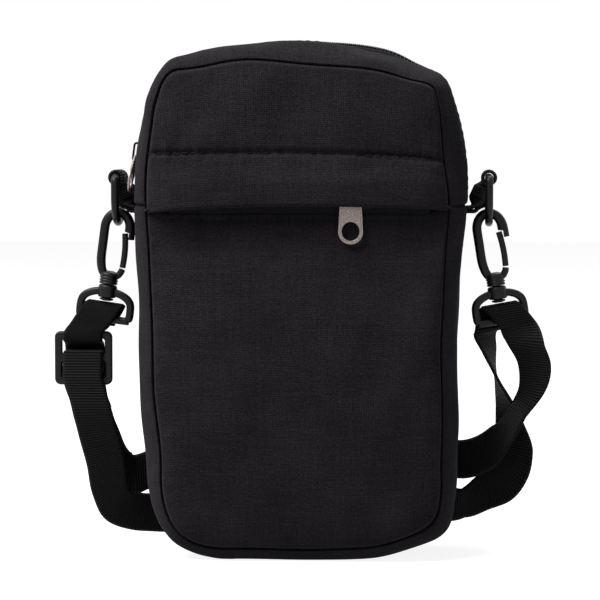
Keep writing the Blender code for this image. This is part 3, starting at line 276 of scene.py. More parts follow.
def swept(
    name: str, rings: Array, closed: bool = False, uv: Optional[Array] = None
) -> Piece:
    """A solid through closed rings of points, capped at its ends unless it is closed."""
    count, sides = rings.shape[:2]
    if uv is None:
        around = np.linalg.norm(np.roll(rings, -1, 1) - rings, axis=2)
        u = np.concatenate([np.zeros((count, 1)), np.cumsum(around, 1)[:, :-1]], 1)
        uv = paired(u, lengths_along(rings.mean(1)))
    faces = grid_faces(count, sides, wrap=True, loop=closed)
    if not closed:
        faces.append(tuple(range(sides)))
        faces.append(tuple((count - 1) * sides + i for i in range(sides)))
    return face_outward(mesh_piece(name, rings.reshape(-1, 3), faces, uv))


def tube_rings(
    path: Array,
    widths: Array,
    depths: Array,
    square: float = 2.0,
    sides: int = 20,
    closed: bool = False,
) -> Array:
    """Rings of a round or squarish bar along a path in the X-Z plane.

    Args:
        path: Points (x, z) of the centre line.
        widths: Half widths in the plane, one or one for each point.
        depths: Half widths along Y, one or one for each point.
        square: 2 for a round section, more for a squarer one.
        sides: Points round each ring.
        closed: Whether the path is a loop.

    Returns:
        An array of rings of points.
    """
    path = np.asarray(path, float)
    widths = np.broadcast_to(widths, len(path))
    depths = np.broadcast_to(depths, len(path))
    if closed:
        heading = np.roll(path, -1, 0) - np.roll(path, 1, 0)
    else:
        heading = np.gradient(path, axis=0)
    heading /= np.linalg.norm(heading, axis=1)[:, None]
    side = np.stack([-heading[:, 1], heading[:, 0]], 1)
    turn = np.linspace(0, math.tau, sides, endpoint=False)
    power = 2 / square
    across = np.sign(np.cos(turn)) * np.abs(np.cos(turn)) ** power
    deep = np.sign(np.sin(turn)) * np.abs(np.sin(turn)) ** power
    x = path[:, None, 0] + side[:, None, 0] * across * widths[:, None]
    z = path[:, None, 1] + side[:, None, 1] * across * widths[:, None]
    y = deep[None, :] * depths[:, None]
    return np.stack([x, np.broadcast_to(y, x.shape), z], 2)


def bar(
    name: str,
    path: Sequence,
    radii: Sequence,
    square: float = 2.0,
    closed: bool = False,
    ends: float = 0.35,
    sides: int = 20,
) -> Piece:
    """A bar along a path in the X-Z plane, with rounded ends where it is open.

    Args:
        name: Name of the piece.
        path: Points (x, z) of its centre line.
        radii: Its radius, one or one for each point.
        square: 2 for a round section, more for a squarer one.
        closed: Whether the path is a loop.
        ends: Length of the rounding, as a share of the radius.
        sides: Points round the section.

    Returns:
        The new piece.
    """
    path = np.asarray(path, float)
    radii = np.array(np.broadcast_to(radii, len(path)), float)
    steps = np.sin(np.linspace(0, math.pi / 2, 5))[1:]
    for _ in range(0 if closed else 2):
        path, radii = path[::-1], radii[::-1]
        heading = path[-1] - path[-2]
        heading /= np.linalg.norm(heading)
        reach = radii[-1] * ends
        extra = [path[-1] + heading * reach * (s - 1) for s in steps]
        slim = [radii[-1] * (1 - ends + ends * math.sqrt(max(1 - s * s, 0))) for s in steps]
        path = np.concatenate([path[:-1], extra])
        radii = np.concatenate([radii[:-1], slim])
    return swept(name, tube_rings(path, radii, radii, square, sides, closed), closed)


def turned(name: str, profile: Sequence, sides: int = 40) -> Piece:
    """A solid of revolution about Z from (radius, height) pairs, closed on the axis."""
    turn = np.linspace(0, math.tau, sides, endpoint=False)
    inner = [p for p in profile if p[0] > 0]
    verts = [(r * math.cos(a), r * math.sin(a), h) for r, h in inner for a in turn]
    faces = grid_faces(len(inner), sides, wrap=True)
    for height, ring in ((profile[0][1], 0), (profile[-1][1], len(inner) - 1)):
        verts.append((0, 0, height))
        for j in range(sides):
            faces.append((ring * sides + j, ring * sides + (j + 1) % sides, len(verts) - 1))
    return face_outward(mesh_piece(name, np.array(verts), faces))


def tube_about_z(name: str, profile: Sequence, sides: int = 40) -> Piece:
    """A ring-shaped solid of revolution about Z from a closed profile."""
    turn = np.linspace(0, math.tau, sides, endpoint=False)
    rings = np.array([[(r * math.cos(a), r * math.sin(a), h) for r, h in profile] for a in turn])
    return swept(name, rings, closed=True)


def plate(name: str, loops: Sequence, low: float, high: float, bevel: float) -> Piece:
    """A plate in the X-Y plane whose outline is the first loop and whose holes are the rest.

    Args:
        name: Name of the piece.
        loops: Outline and holes, as points (x, y).
        low: Height of its lower face.
        high: Height of its upper face.
        bevel: Radius of its edges.

    Returns:
        The new piece.
    """
    curve = bpy.data.curves.new(name, "CURVE")
    curve.dimensions = "2D"
    curve.fill_mode = "BOTH"
    curve.extrude = (high - low) / 2 - bevel
    curve.bevel_depth = bevel
    curve.bevel_resolution = 3
    curve.offset = -bevel
    for loop in loops:
        spline = curve.splines.new("POLY")
        spline.points.add(len(loop) - 1)
        spline.use_cyclic_u = True
        for place, point in zip(spline.points, loop):
            place.co = (point[0], point[1], 0, 1)
    holder = added(name, curve)
    graph = bpy.context.evaluated_depsgraph_get()
    data = bpy.data.meshes.new_from_object(holder.evaluated_get(graph))
    bpy.data.objects.remove(holder)
    bpy.data.curves.remove(curve)
    piece = face_outward(added(name, data), 0.0005 * MM)
    data.transform(Matrix.Translation((0, 0, (low + high) / 2)))
    data.shade_smooth()
    data.set_sharp_from_angle(angle=math.radians(35))
    return piece


def joined(name: str, pieces: Sequence[Piece], matrix: Matrix) -> Piece:
    """One object out of several, with its place written into its mesh."""
    whole = bmesh.new()
    for piece in pieces:
        whole.from_mesh(piece.data)
    data = bpy.data.meshes.new(name)
    whole.to_mesh(data)
    whole.free()
    data.transform(matrix)
    for piece in pieces:
        bpy.data.meshes.remove(piece.data)
    return added(name, data)


# Materials


def plug(tree: Tree, socket: Socket, value: Input) -> None:
    """Links or sets one input."""
    if isinstance(value, Socket):
        tree.links.new(value, socket)
    elif isinstance(value, tuple) and socket.type == "RGBA":
        socket.default_value = (*value, 1)
    else:
        socket.default_value = value


def add_node(tree: Tree, kind: str, inputs: Optional[dict] = None, **settings: str) -> Node:
    """A node with its sockets set or linked.

    Args:
        tree: The tree that it goes into.
        kind: The node's class name.
        inputs: A number, colour or other node's socket for each socket.
        settings: The node's own settings.

    Returns:
        The new node.
    """
    node = tree.nodes.new(kind)
    for key, value in settings.items():
        setattr(node, key, value)
    for key, value in (inputs or {}).items():
        plug(tree, node.inputs[key], value)
    return node


def seen_rays(tree: Tree) -> Socket:
    """1 for what the camera, gloss and glass see, and 0 for light that falls on things."""
    rays = add_node(tree, "ShaderNodeLightPath").outputs
    seen = rays["Is Camera Ray"]
    for name in ("Is Glossy Ray", "Is Transmission Ray"):
        either = add_node(tree, "ShaderNodeMath", {0: seen, 1: rays[name]}, operation="MAXIMUM")
        seen = either.outputs[0]
    return seen


class Shader:
    """One material's node tree, built by short calls."""

    def __init__(self, name: str) -> None:
        """Starts a material of this name."""
        self.material = bpy.data.materials.new(name)
        self.material.use_nodes = True
        self.tree = self.material.node_tree
        self.principled = self.tree.nodes["Principled BSDF"]

    def node(self, kind: str, inputs: Optional[dict] = None, **settings: str) -> Node:
        """A node in the material's tree."""
        return add_node(self.tree, kind, inputs, **settings)

    def add(self, a: Input, b: Input) -> Socket:
        """A sum."""
        return self.maths("ADD", a, b)

    def times(self, a: Input, b: Input) -> Socket:
        """A product."""
        return self.maths("MULTIPLY", a, b)

    def maths(self, operation: str, a: Input, b: Input = 0.0, c: Input = 0.0) -> Socket:
        """A maths node's result."""
        return self.node("ShaderNodeMath", {0: a, 1: b, 2: c}, operation=operation).outputs[0]

    def where(self, source: str = "Object") -> Socket:
        """Coordinates in metres: the object's own, or its lengths along the fabric."""
        if source == "Object":
            return self.node("ShaderNodeTexCoord").outputs["Object"]
        return self.node("ShaderNodeUVMap", uv_map="lengths").outputs["UV"]

    def split(self, vector: Socket) -> tuple:
        """A vector's first two numbers."""
        node = self.node("ShaderNodeSeparateXYZ", {0: vector})
        return node.outputs[0], node.outputs[1]

    def noise(
        self, vector: Socket, size: float, detail: float = 2.0, stretch: tuple = (1, 1, 1)
    ) -> Socket:
        """Noise between 0 and 1 whose grains are about this long."""
        scale = tuple(s / size for s in stretch)
        place = self.node("ShaderNodeVectorMath", {0: vector, 1: scale}, operation="MULTIPLY")
        grains = {"Vector": place.outputs[0], "Scale": 1.0, "Detail": detail}
        return self.node("ShaderNodeTexNoise", grains).outputs["Fac"]

    def wave(self, value: Socket, length: float, shift: Input = 0.0) -> Socket:
        """A sine between 0 and 1."""
        angle = self.maths("MULTIPLY_ADD", value, math.tau / length, shift)
        return self.maths("MULTIPLY_ADD", self.maths("SINE", angle), 0.5, 0.5)

    def ramp(
        self, value: Socket, low: Input, high: Input, start: float = 0.0, end: float = 1.0
    ) -> Socket:
        """A number or colour that goes from low to high as value goes from start to end."""
        limits = {"Value": value, "From Min": start, "From Max": end}
        if isinstance(low, tuple):
            return self.mixed(self.node("ShaderNodeMapRange", limits).outputs[0], low, high)
        limits |= {"To Min": low, "To Max": high}
        return self.node("ShaderNodeMapRange", limits).outputs[0]

    def mixed(self, share: Input, low: Input, high: Input) -> Socket:
        """One colour turned into another by a share."""
        colours = {"Factor": share, 6: low, 7: high}
        return self.node("ShaderNodeMix", colours, data_type="RGBA").outputs[2]

    def bump(self, height: Socket, depth: float, strength: float = 1.0) -> Socket:
        """A bump of this depth in metres."""
        relief = {"Height": height, "Distance": depth, "Strength": strength}
        return self.node("ShaderNodeBump", relief).outputs[0]

    def finish(self, **sockets: Input) -> Material:
        """Sets the main shader's sockets and gives the material."""
        names = {"colour": "Base Color", "specular": "Specular IOR Level"}
        names |= {"sheen": "Sheen Weight", "sheen_roughness": "Sheen Roughness"}
        names |= {"sheen_tint": "Sheen Tint", "coat": "Coat Weight"}
        names |= {"coat_roughness": "Coat Roughness"}
        for key, value in sockets.items():
            plug(self.tree, self.principled.inputs[names.get(key, key.capitalize())], value)
        return self.material


@dataclass(frozen=True)
class ShellCloth:
    """Matt brushed weave with slightly lighter threads."""

    dark: tuple = (0.0065, 0.0056, 0.0068)
    light: tuple = (0.032, 0.028, 0.0335)
    thread: float = 0.62 * MM

    def build(self) -> Material:
        """The material, woven along the fabric's lengths."""
        s = Shader("shell_cloth")
        place = s.where("UV")
        u, v = s.split(place)
        stray = s.times(s.noise(place, 2.4 * MM, 2), 9.0)
        warp = s.wave(u, self.thread, stray)
        weft = s.wave(v, self.thread, stray)
        slub_u = s.noise(place, 1.6 * MM, 2, (1, 0.12, 1))
        slub_v = s.noise(place, 1.6 * MM, 2, (0.12, 1, 1))
        weave = s.add(s.times(warp, slub_u), s.times(weft, slub_v))
        fuzz = s.noise(place, 0.9 * MM, 4)
        broad = s.noise(place, 30 * MM, 3)
        tone = s.add(s.times(weave, 0.35), s.times(fuzz, 0.75))
        tone = s.add(tone, s.times(s.maths("SUBTRACT", broad, 0.5), 0.4))
        height = s.add(weave, s.times(fuzz, 1.2))
        return s.finish(
            colour=s.ramp(tone, self.dark, self.light, 0.4, 0.95),
            roughness=s.ramp(fuzz, 0.86, 0.97, 0.3, 0.7),
            specular=0.05,
            sheen=0.03,
            sheen_roughness=0.5,
            sheen_tint=(0.75, 0.72, 0.78),
            normal=s.bump(height, 0.16 * MM, 0.7),
        )


@dataclass(frozen=True)
class Webbing:
    """Ribbed black webbing with twill, rib crests painted light as sheen; smooth and painted dark
    as shade over a plain start.
    """

    dark: tuple = (0.0008, 0.0008, 0.001)
    # The lighter colour is reached on the rib crests, a painted sheen highlight, and on speckles.
    light: tuple = (0.021, 0.021, 0.0235)
    rib: float = 1.0 * MM
    speckle: float = 0.2
    # Length of the plain start, which is smooth and painted darker as shade.
    plain: float = 0.0

    def build(self) -> Material:
        """The material, ribbed along the strap's lengths."""
        s = Shader("webbing")
        place = s.where("UV")
        u, v = s.split(place)
        wander = s.times(s.noise(place, 3 * MM, 2), 1.3)
        ribs = s.wave(v, self.rib, wander)
        # Over the plain start the ribs fade, so that stretch is smoother and painted darker, as
        # shade.
        if self.plain:
            ribs = s.times(ribs, s.ramp(v, 0.12, 1.0, self.plain, self.plain * 1.1))
        twill = s.wave(s.add(u, s.times(v, 0.6)), 0.5 * MM)
        grains = s.noise(place, 0.4 * MM, 2)
        height = s.add(ribs, s.times(twill, 0.3))
        # Rib crests are painted lighter as a sheen highlight; the twill and speckles are the
        # weave's own tone.
        tone = s.times(s.maths("POWER", ribs, 2.6), s.ramp(twill, 0.55, 1.0))
        tone = s.add(tone, s.times(grains, self.speckle))
        return s.finish(
            colour=s.ramp(tone, self.dark, self.light, 0.15, 1.2),
            roughness=s.ramp(grains, 0.55, 0.8, 0.3, 0.7),
            specular=0.06,
            sheen=0.015,
            normal=s.bump(height, 0.3 * MM, 1.0),
        )


@dataclass(frozen=True)
class MouldedPlastic:
    """Satin black plastic with faint flow marks; its sharp edges are painted lighter, a painted
    highlight with some wear.
    """

    name: str = "moulded_plastic"
    body: tuple = (0.0022, 0.0022, 0.0026)
    # Colour of the sharp edges: a painted edge highlight, with some wear.
    rubbed: tuple = (0.026, 0.026, 0.028)
    gloss: float = 0.17

    def build(self) -> Material:
        """The material."""
        s = Shader(self.name)
        place = s.where()
        point = s.node("ShaderNodeNewGeometry").outputs["Pointiness"]
        grain = s.noise(place, 0.5 * MM, 4)
        cloud = s.noise(place, 7 * MM, 3)
        # Sharp edges, found by pointiness, are painted lighter as a highlight, with some wear.
        edge_highlight_and_wear_share = s.times(s.ramp(point, 0.0, 1.0, 0.53, 0.62), cloud)
        return s.finish(
            colour=s.ramp(edge_highlight_and_wear_share, self.body, self.rubbed),
            roughness=s.maths("MULTIPLY_ADD", grain, 0.08, s.ramp(cloud, 0.3, 0.44, 0.3, 0.7)),
            specular=self.gloss,
            coat=self.gloss * 0.2,
            coat_roughness=0.3,
            normal=s.bump(grain, 0.05 * MM, 0.4),
        )


@dataclass(frozen=True)
class WornGunmetal:
    """Speckled gunmetal plating, its sharp edges painted brighter: a painted highlight, with some
    wear.
    """

    body: tuple = (0.155, 0.128, 0.12)
    fleck: tuple = (0.33, 0.282, 0.266)
    # Colour of the sharp edges: a painted highlight on the metal's rims, with some wear.
    edge: tuple = (0.68, 0.65, 0.62)

    def build(self) -> Material:
        """The material."""
        s = Shader("worn_gunmetal")
        place = s.where()
        point = s.node("ShaderNodeNewGeometry").outputs["Pointiness"]
        fleck = s.noise(place, 0.5 * MM, 4)
        cloud = s.noise(place, 3 * MM, 3)
        spots = s.ramp(fleck, 0.0, 1.0, 0.45, 0.7)
        # Sharp edges, found by pointiness, are painted brighter as a highlight, with some wear.
        edge_highlight_and_wear_share = s.ramp(point, 0.0, 1.0, 0.52, 0.6)
        colour = s.ramp(spots, self.body, self.fleck)
        return s.finish(
            colour=s.mixed(edge_highlight_and_wear_share, colour, self.edge),
            metallic=0.92,
            roughness=s.maths("MULTIPLY_ADD", edge_highlight_and_wear_share, -0.16, s.ramp(cloud, 0.36, 0.5, 0.3, 0.7)),
            normal=s.bump(fleck, 0.06 * MM, 0.5),
        )


@dataclass(frozen=True)
class PlainWeave:
    """A fine flat weave, for tape, lining and binding."""

    name: str
    dark: tuple
    light: tuple
    pitch: float
    roughness: float = 0.75

    def build(self) -> Material:
        """The material, woven along the piece's lengths."""
        s = Shader(self.name)
        place = s.where("UV")
        u, v = s.split(place)
        slant = s.maths("ABSOLUTE", u)
        rows = s.wave(s.add(v, s.times(slant, 0.8)), self.pitch)
        cords = s.wave(u, self.pitch * 1.4)
        grain = s.noise(place, 0.5 * MM, 3)
        height = s.add(rows, s.times(cords, 0.6))
        tone = s.add(s.times(height, 0.4), s.times(grain, 0.5))
        return s.finish(
            colour=s.ramp(tone, self.dark, self.light, 0.2, 0.9),
            roughness=s.ramp(grain, self.roughness - 0.08, self.roughness + 0.1, 0.3, 0.7),
            specular=0.1,
            sheen=0.03,
            normal=s.bump(height, 0.12 * MM, 0.6),
        )


@dataclass(frozen=True)
class FoamSheet:
    """Grey closed foam with fine cells."""

    def build(self) -> Material:
        """The material."""
        s = Shader("foam_sheet_cells")
        place = s.where()
        cells = s.node("ShaderNodeTexVoronoi", {"Vector": place, "Scale": 1 / (0.5 * MM)})
        height = cells.outputs["Distance"]
        tone = s.noise(place, 6 * MM, 3)
        return s.finish(
            colour=s.ramp(tone, (0.2, 0.2, 0.2), (0.3, 0.3, 0.3), 0.3, 0.7),
            roughness=0.95,
            normal=s.bump(height, 0.1 * MM, 0.6),
        )


@dataclass(frozen=True)
class SewingThread:
    """Twisted matt thread."""

    def build(self) -> Material:
        """The material."""
        s = Shader("sewing_thread")
        place = s.where()
        twist = s.noise(place, 0.3 * MM, 2)
        return s.finish(
            colour=s.ramp(twist, (0.002, 0.002, 0.0025), (0.012, 0.012, 0.014), 0.3, 0.75),
            roughness=0.7,
            specular=0.1,
            normal=s.bump(twist, 0.08 * MM, 0.8),
        )


@dataclass(frozen=True)
class Finishes:
    """Every material of the pouch."""

    cloth: Material
    webbing: Material
    tab_webbing: Material
    plastic: Material
    metal: Material
    enamel: Material
    tape: Material
    tooth: Material
    lining: Material
    foam: Material
    thread: Material


def make_finishes() -> Finishes:
    """Builds the materials."""
    # Edge colour of the black enamel: a painted edge highlight, with some wear.
    rubbed = (0.008, 0.008, 0.009)
    tape_light = (0.01, 0.01, 0.011)
    lining_light = (0.045, 0.045, 0.05)
    lining = PlainWeave("lining_weave", (0.018, 0.018, 0.02), lining_light, 0.4 * MM, 0.6)
    return Finishes(
        cloth=ShellCloth().build(),
        # The strap's first 52 mm is smooth and painted darker, as shade.
        webbing=Webbing(plain=52 * MM).build(),
        tab_webbing=Webbing(rib=0.9 * MM, speckle=0.75, light=(0.03, 0.03, 0.034)).build(),
        plastic=MouldedPlastic().build(),
        metal=WornGunmetal().build(),
        enamel=MouldedPlastic("black_enamel", (0.002, 0.002, 0.0023), rubbed, 0.06).build(),
        tape=PlainWeave("zip_tape_weave", (0.002, 0.002, 0.0024), tape_light, 0.7 * MM).build(),
        # The teeth's lighter second colour is painted on their edges as a highlight.
        tooth=MouldedPlastic("coil_teeth", (0.004, 0.004, 0.0045), (0.02, 0.02, 0.022)).build(),
        lining=lining.build(),
        foam=FoamSheet().build(),
        thread=SewingThread().build(),
    )


@dataclass
class Maker:
    """Hands each finished piece its material, body and CAD nodes."""

    finishes: Finishes

    def place(
        self, obj: Piece, material: Material, body: str, slot: Slot, nodes: Iterable[str] = ()
    ) -> Piece:
        """Dresses a piece and makes it ride on its body.

        Args:
            obj: The piece, in place in the shared frame.
            material: Its material.
            body: The CAD body that it moves with.
            slot: The material slot; not used.
            nodes: CAD nodes that it stands for.

        Returns:
            The same piece.
        """
        obj.data.materials.clear()
        obj.data.materials.append(material)
        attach(obj, body)
        if nodes:
            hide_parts(*nodes)
        LOG.info("%s: %d faces, rides on %s", obj.name, len(obj.data.polygons), body)
        return obj


# Repeated small pieces


@dataclass
class Repeats:
    """Copies of one small piece at many places, made by a node group.

    Attributes:
        name: Name of the finished piece.
        item: The piece that is repeated, which is removed afterwards.
        places: A matrix for each copy.
        seed: Seed of the small differences in size.
        spread: Largest part of the size by which copies differ.
    """

    name: str
    item: Piece
    places: Sequence[Matrix]
    seed: int = 1
    spread: float = 0.04

    def points(self) -> Piece:
        """A mesh of points that carry each copy's turn."""
        data = bpy.data.meshes.new(self.name)
        data.from_pydata([tuple(m.translation) for m in self.places], [], [])
        turns = data.attributes.new("turn", "FLOAT_VECTOR", "POINT")
        turns.data.foreach_set("vector", [a for m in self.places for a in m.to_euler()])
        return added(self.name, data)

    def group(self) -> bpy.types.NodeTree:
        """The node group: instances on the points, realized."""
        group = bpy.data.node_groups.new(self.name, "GeometryNodeTree")
        group.is_modifier = True
        kinds = {"Geometry": "Geometry", "Item": "Object", "Seed": "Int", "Spread": "Float"}
        kinds["Material"] = "Material"
        for name, kind in kinds.items():
            group.interface.new_socket(name, in_out="INPUT", socket_type=f"NodeSocket{kind}")
        group.interface.new_socket("Geometry", in_out="OUTPUT", socket_type="NodeSocketGeometry")
        entry = add_node(group, "NodeGroupInput").outputs
        info = add_node(group, "GeometryNodeObjectInfo", {"Object": entry["Item"]})
        turn = add_node(
            group, "GeometryNodeInputNamedAttribute", {"Name": "turn"}, data_type="FLOAT_VECTOR"
        )
        low = add_node(group, "ShaderNodeMath", {0: 1.0, 1: entry["Spread"]}, operation="SUBTRACT")
        sizes = {2: low.outputs[0], 3: 1.0, "Seed": entry["Seed"]}
        size = add_node(group, "FunctionNodeRandomValue", sizes, data_type="FLOAT")
        layout = {"Points": entry["Geometry"], "Instance": info.outputs["Geometry"]}
        layout |= {"Rotation": turn.outputs["Attribute"], "Scale": size.outputs[1]}
        copies = add_node(group, "GeometryNodeInstanceOnPoints", layout)
        whole = add_node(group, "GeometryNodeRealizeInstances", {0: copies.outputs[0]})
        painted = {"Geometry": whole.outputs[0], "Material": entry["Material"]}
        paint = add_node(group, "GeometryNodeSetMaterial", painted)
        add_node(group, "NodeGroupOutput", {0: paint.outputs[0]})
        return group

    def build(self, material: Material) -> Piece:
        """The copies as one plain mesh piece."""
        holder = self.points()
        modifier = holder.modifiers.new("repeats", "NODES")
        modifier.node_group = self.group()
        values = {"Item": self.item, "Seed": self.seed, "Spread": self.spread, "Material": material}
        for socket in modifier.node_group.interface.items_tree:
            if socket.in_out == "INPUT" and socket.name in values:
                modifier[socket.identifier] = values[socket.name]
        graph = bpy.context.evaluated_depsgraph_get()
        data = bpy.data.meshes.new_from_object(holder.evaluated_get(graph))
        data.shade_smooth()
        bpy.data.objects.remove(holder)
        bpy.data.objects.remove(self.item)
        return added(self.name, data)


def frame_at(origin: Vector, x_axis: Vector, z_axis: Vector) -> Matrix:
    """A place whose X runs along one direction and whose Z is near another."""
    x = x_axis.normalized()
    y = z_axis.cross(x).normalized()
    z = x.cross(y)
    return Matrix.Translation(origin) @ Matrix((x, y, z)).transposed().to_4x4()


def stitch_item(length: float, radius: float) -> Piece:
    """One stitch along X: a short thread whose ends dip into the fabric."""
    steps = np.linspace(-1, 1, 9)
    x = steps * length / 2
    z = radius * (0.75 - 1.9 * steps**4)
    return bar("stitch", np.stack([x, z], 1), radius * (1 - 0.35 * steps**4), ends=0.6)


def stitches_along(points: Array, normals: Array, pitch: float) -> list:
    """Places of stitches at equal steps along a line on the fabric."""
    gone = lengths_along(points)
    count = int(gone[-1] / pitch)
    stops = (np.arange(count) + 0.5) * gone[-1] / count
    half = 0.5 * MM
    places = []
    for stop in stops:
        near, far, middle, up = (
            Vector([np.interp(stop + shift, gone, source[:, k]) for k in range(3)])
            for source, shift in ((points, -half), (points, half), (points, 0), (normals, 0))
        )
        places.append(frame_at(middle, far - near, up))
    return places


# The body's outline and how the cloth settles


@dataclass(frozen=True)
class Outline:
    """The body from the front: a chain of arcs, with the seams set in from its crest."""

    half_width: float = 60 * MM
    seam_height: float = 127 * MM
    base_radius: float = 32 * MM
    base_tuck: float = 4.2 * MM
    side_radius: float = 150 * MM
    side_sweep: float = math.radians(16.5)
    shoulder_radius: float = 16 * MM
    shoulder_sweep: float = math.radians(57.5)
    side_inset: float = 4.2 * MM
    top_inset: float = 6.5 * MM
    base_inset: float = 5.0 * MM
    half_depth: float = 17 * MM
    flat_share: float = 0.62

    @property
    def side_x(self) -> float:
        """Centre, across, of the right side's arc."""
        return self.half_width - self.side_radius

    @property
    def half_flat(self) -> float:
        """Half the width of the flat base."""
        return self.half_width - self.base_tuck - self.base_radius

    def taper(self) -> float:
        """Outward angle of the straight part of the side."""
        across = self.half_flat - self.side_x
        up = self.base_radius - self.seam_height
        spread = math.acos((self.side_radius - self.base_radius) / math.hypot(across, up))
        return math.atan2(up, across) + spread

    def shoulder(self) -> tuple:
        """Middle of the right shoulder's arc."""
        reach = self.side_radius - self.shoulder_radius
        x = self.side_x + reach * math.cos(self.side_sweep)
        return x, self.seam_height + reach * math.sin(self.side_sweep)

    def crest(self) -> tuple:
        """Centre height, radius and end angle of the arc over the top."""
        x, z = self.shoulder()
        angle = self.side_sweep + self.shoulder_sweep
        reach = x / math.cos(angle)
        return z - reach * math.sin(angle), self.shoulder_radius + reach, angle

    def lower_half(self, end: float = 0.0) -> list:
        """Legs from the middle of the base to the right side seam."""
        taper = self.taper()
        base = (self.half_flat, self.base_radius, self.base_radius)
        side = (self.side_x, self.seam_height, self.side_radius)
        down = -math.pi / 2
        legs = [((0.0, *base[1:], down), (*base, down)), ((*base, down), (*base, taper))]
        return legs + [((*base, taper), (*side, taper)), ((*side, taper), (*side, end))]

    def upper_half(self, start: float = 0.0) -> list:
        """Legs from the right side seam to the middle of the top."""
        crest_z, crest_radius, crest_start = self.crest()
        side = (self.side_x, self.seam_height, self.side_radius)
        shoulder = (*self.shoulder(), self.shoulder_radius)
        crest = (0.0, crest_z, crest_radius)
        legs = [((*side, start), (*side, self.side_sweep))]
        legs += [((*shoulder, self.side_sweep), (*shoulder, crest_start))]
        return legs + [((*crest, crest_start), (*crest, math.pi / 2))]

    def sampled(self, legs: Sequence, step: float) -> Array:
        """Stations at about equal steps along the legs.

        Args:
            legs: Pairs of stations: an arc's centre, its radius and the outward angle.
            step: Distance between stations on the crest.

        Returns:
            One row of four numbers for each station.
        """
        done = []
        for start, end in legs:
            start = np.array(start)
            end = np.array(end)
            length = max(math.dist(start[:2], end[:2]), abs(start[2] * (end[3] - start[3])))
            steps = max(int(math.ceil(length / step)), 1)
            share = np.linspace(0, 1, steps + 1)[:, None]
            leg = start + (end - start) * share
            done.append(leg if not done else leg[1:])
        return np.concatenate(done)

    def whole(self, right: Array) -> Array:
        """The right half's stations carried on to the left, from the left end to the right."""
        left = right[::-1].copy()
        left[:, 0] *= -1
        left[:, 3] = math.pi - left[:, 3]
        return np.concatenate([left, right[1:]])

    def lower_way(self, step: float, end: float = 0.0) -> Array:
        """From the left side seam, under the base, to the right side seam."""
        return self.whole(self.sampled(self.lower_half(end), step))

    def upper_way(self, step: float, start: float = 0.0) -> Array:
        """From the left side seam, over the top, to the right side seam."""
        return self.whole(self.sampled(self.upper_half(start), step)[::-1])

    def closed_way(self, step: float) -> Array:
        """Once round, from the left side seam by way of the base."""
        return np.concatenate([self.lower_way(step), self.upper_way(step)[::-1][1:-1]])

    def seam_inset(self, angle: Array) -> Array:
        """How far the seams stand in from the crest."""
        lift = np.sin(angle)
        far = np.where(lift > 0, self.top_inset, self.base_inset)
        return self.side_inset + (far - self.side_inset) * lift**2

    def drop(self, y: Array) -> Array:
        """The share of that inset at a depth: none over the flat middle."""
        share = (np.abs(y) / self.half_depth - self.flat_share) / (1 - self.flat_share)
        return np.clip(share, 0, None) ** 2

    def points(self, stations: Array, inset: Array, y: Array) -> Array:
        """Points in from the crest, one column for each depth."""
        reach = stations[:, 2:3] - inset
        x = stations[:, 0:1] + reach * np.cos(stations[:, 3:4])
        z = stations[:, 1:2] + reach * np.sin(stations[:, 3:4])
        return np.stack([x, np.broadcast_to(y, x.shape), z], 2)

    def gusset_points(self, stations: Array, y: Array, inset: Array) -> Array:
        """Points on the gusset's section, or inset from it."""
        seam = self.seam_inset(stations[:, 3:4])
        return self.points(stations, inset + seam * self.drop(y), y)

    def seam_points(self, stations: Array, inset: float = 0.0) -> Array:
        """Points of the seam in the body's middle plane, or this far in from it."""
        return self.points(stations, self.seam_inset(stations[:, 3:4]) + inset, 0.0)[:, 0]

    def seam_line(self) -> Array:
        """The seam once round, from the front."""
        line = self.seam_points(self.closed_way(1.5 * MM))[:, [0, 2]]
        return np.concatenate([line, line[:1]])


def outward(stations: Array) -> Array:
    """The direction away from the body's middle at each station."""
    angles = stations[:, 3]
    return np.stack([np.cos(angles), np.zeros(len(angles)), np.sin(angles)], 1)


def along_line(line: Array, points: Array) -> tuple:
    """How far points are from a line, and where along it.

    Args:
        line: Corners of the line.
        points: Places to measure from.

    Returns:
        The distances and the lengths along the line.
    """
    start = line[:-1]
    step = line[1:] - start
    length = np.linalg.norm(step, axis=1)
    gone = lengths_along(line)[:-1]
    near = points[:, None, :] - start
    share = np.clip((near * step).sum(2) / length**2, 0, 1)
    gap = np.linalg.norm(near - share[..., None] * step, axis=2)
    best = gap.argmin(1)
    every = np.arange(len(points))
    return gap[every, best], gone[best] + share[every, best] * length[best]


@dataclass(frozen=True)
class Push:
    """A soft shift of the cloth about one place of the front view, in millimetres.

    Attributes:
        middle: Where it is strongest, across and up.
        spread: How far it reaches each way.
        move: The shift there, across and up.
        front: Whether only the front seam and what is before it moves.
    """

    middle: tuple
    spread: tuple
    move: tuple
    front: bool = False


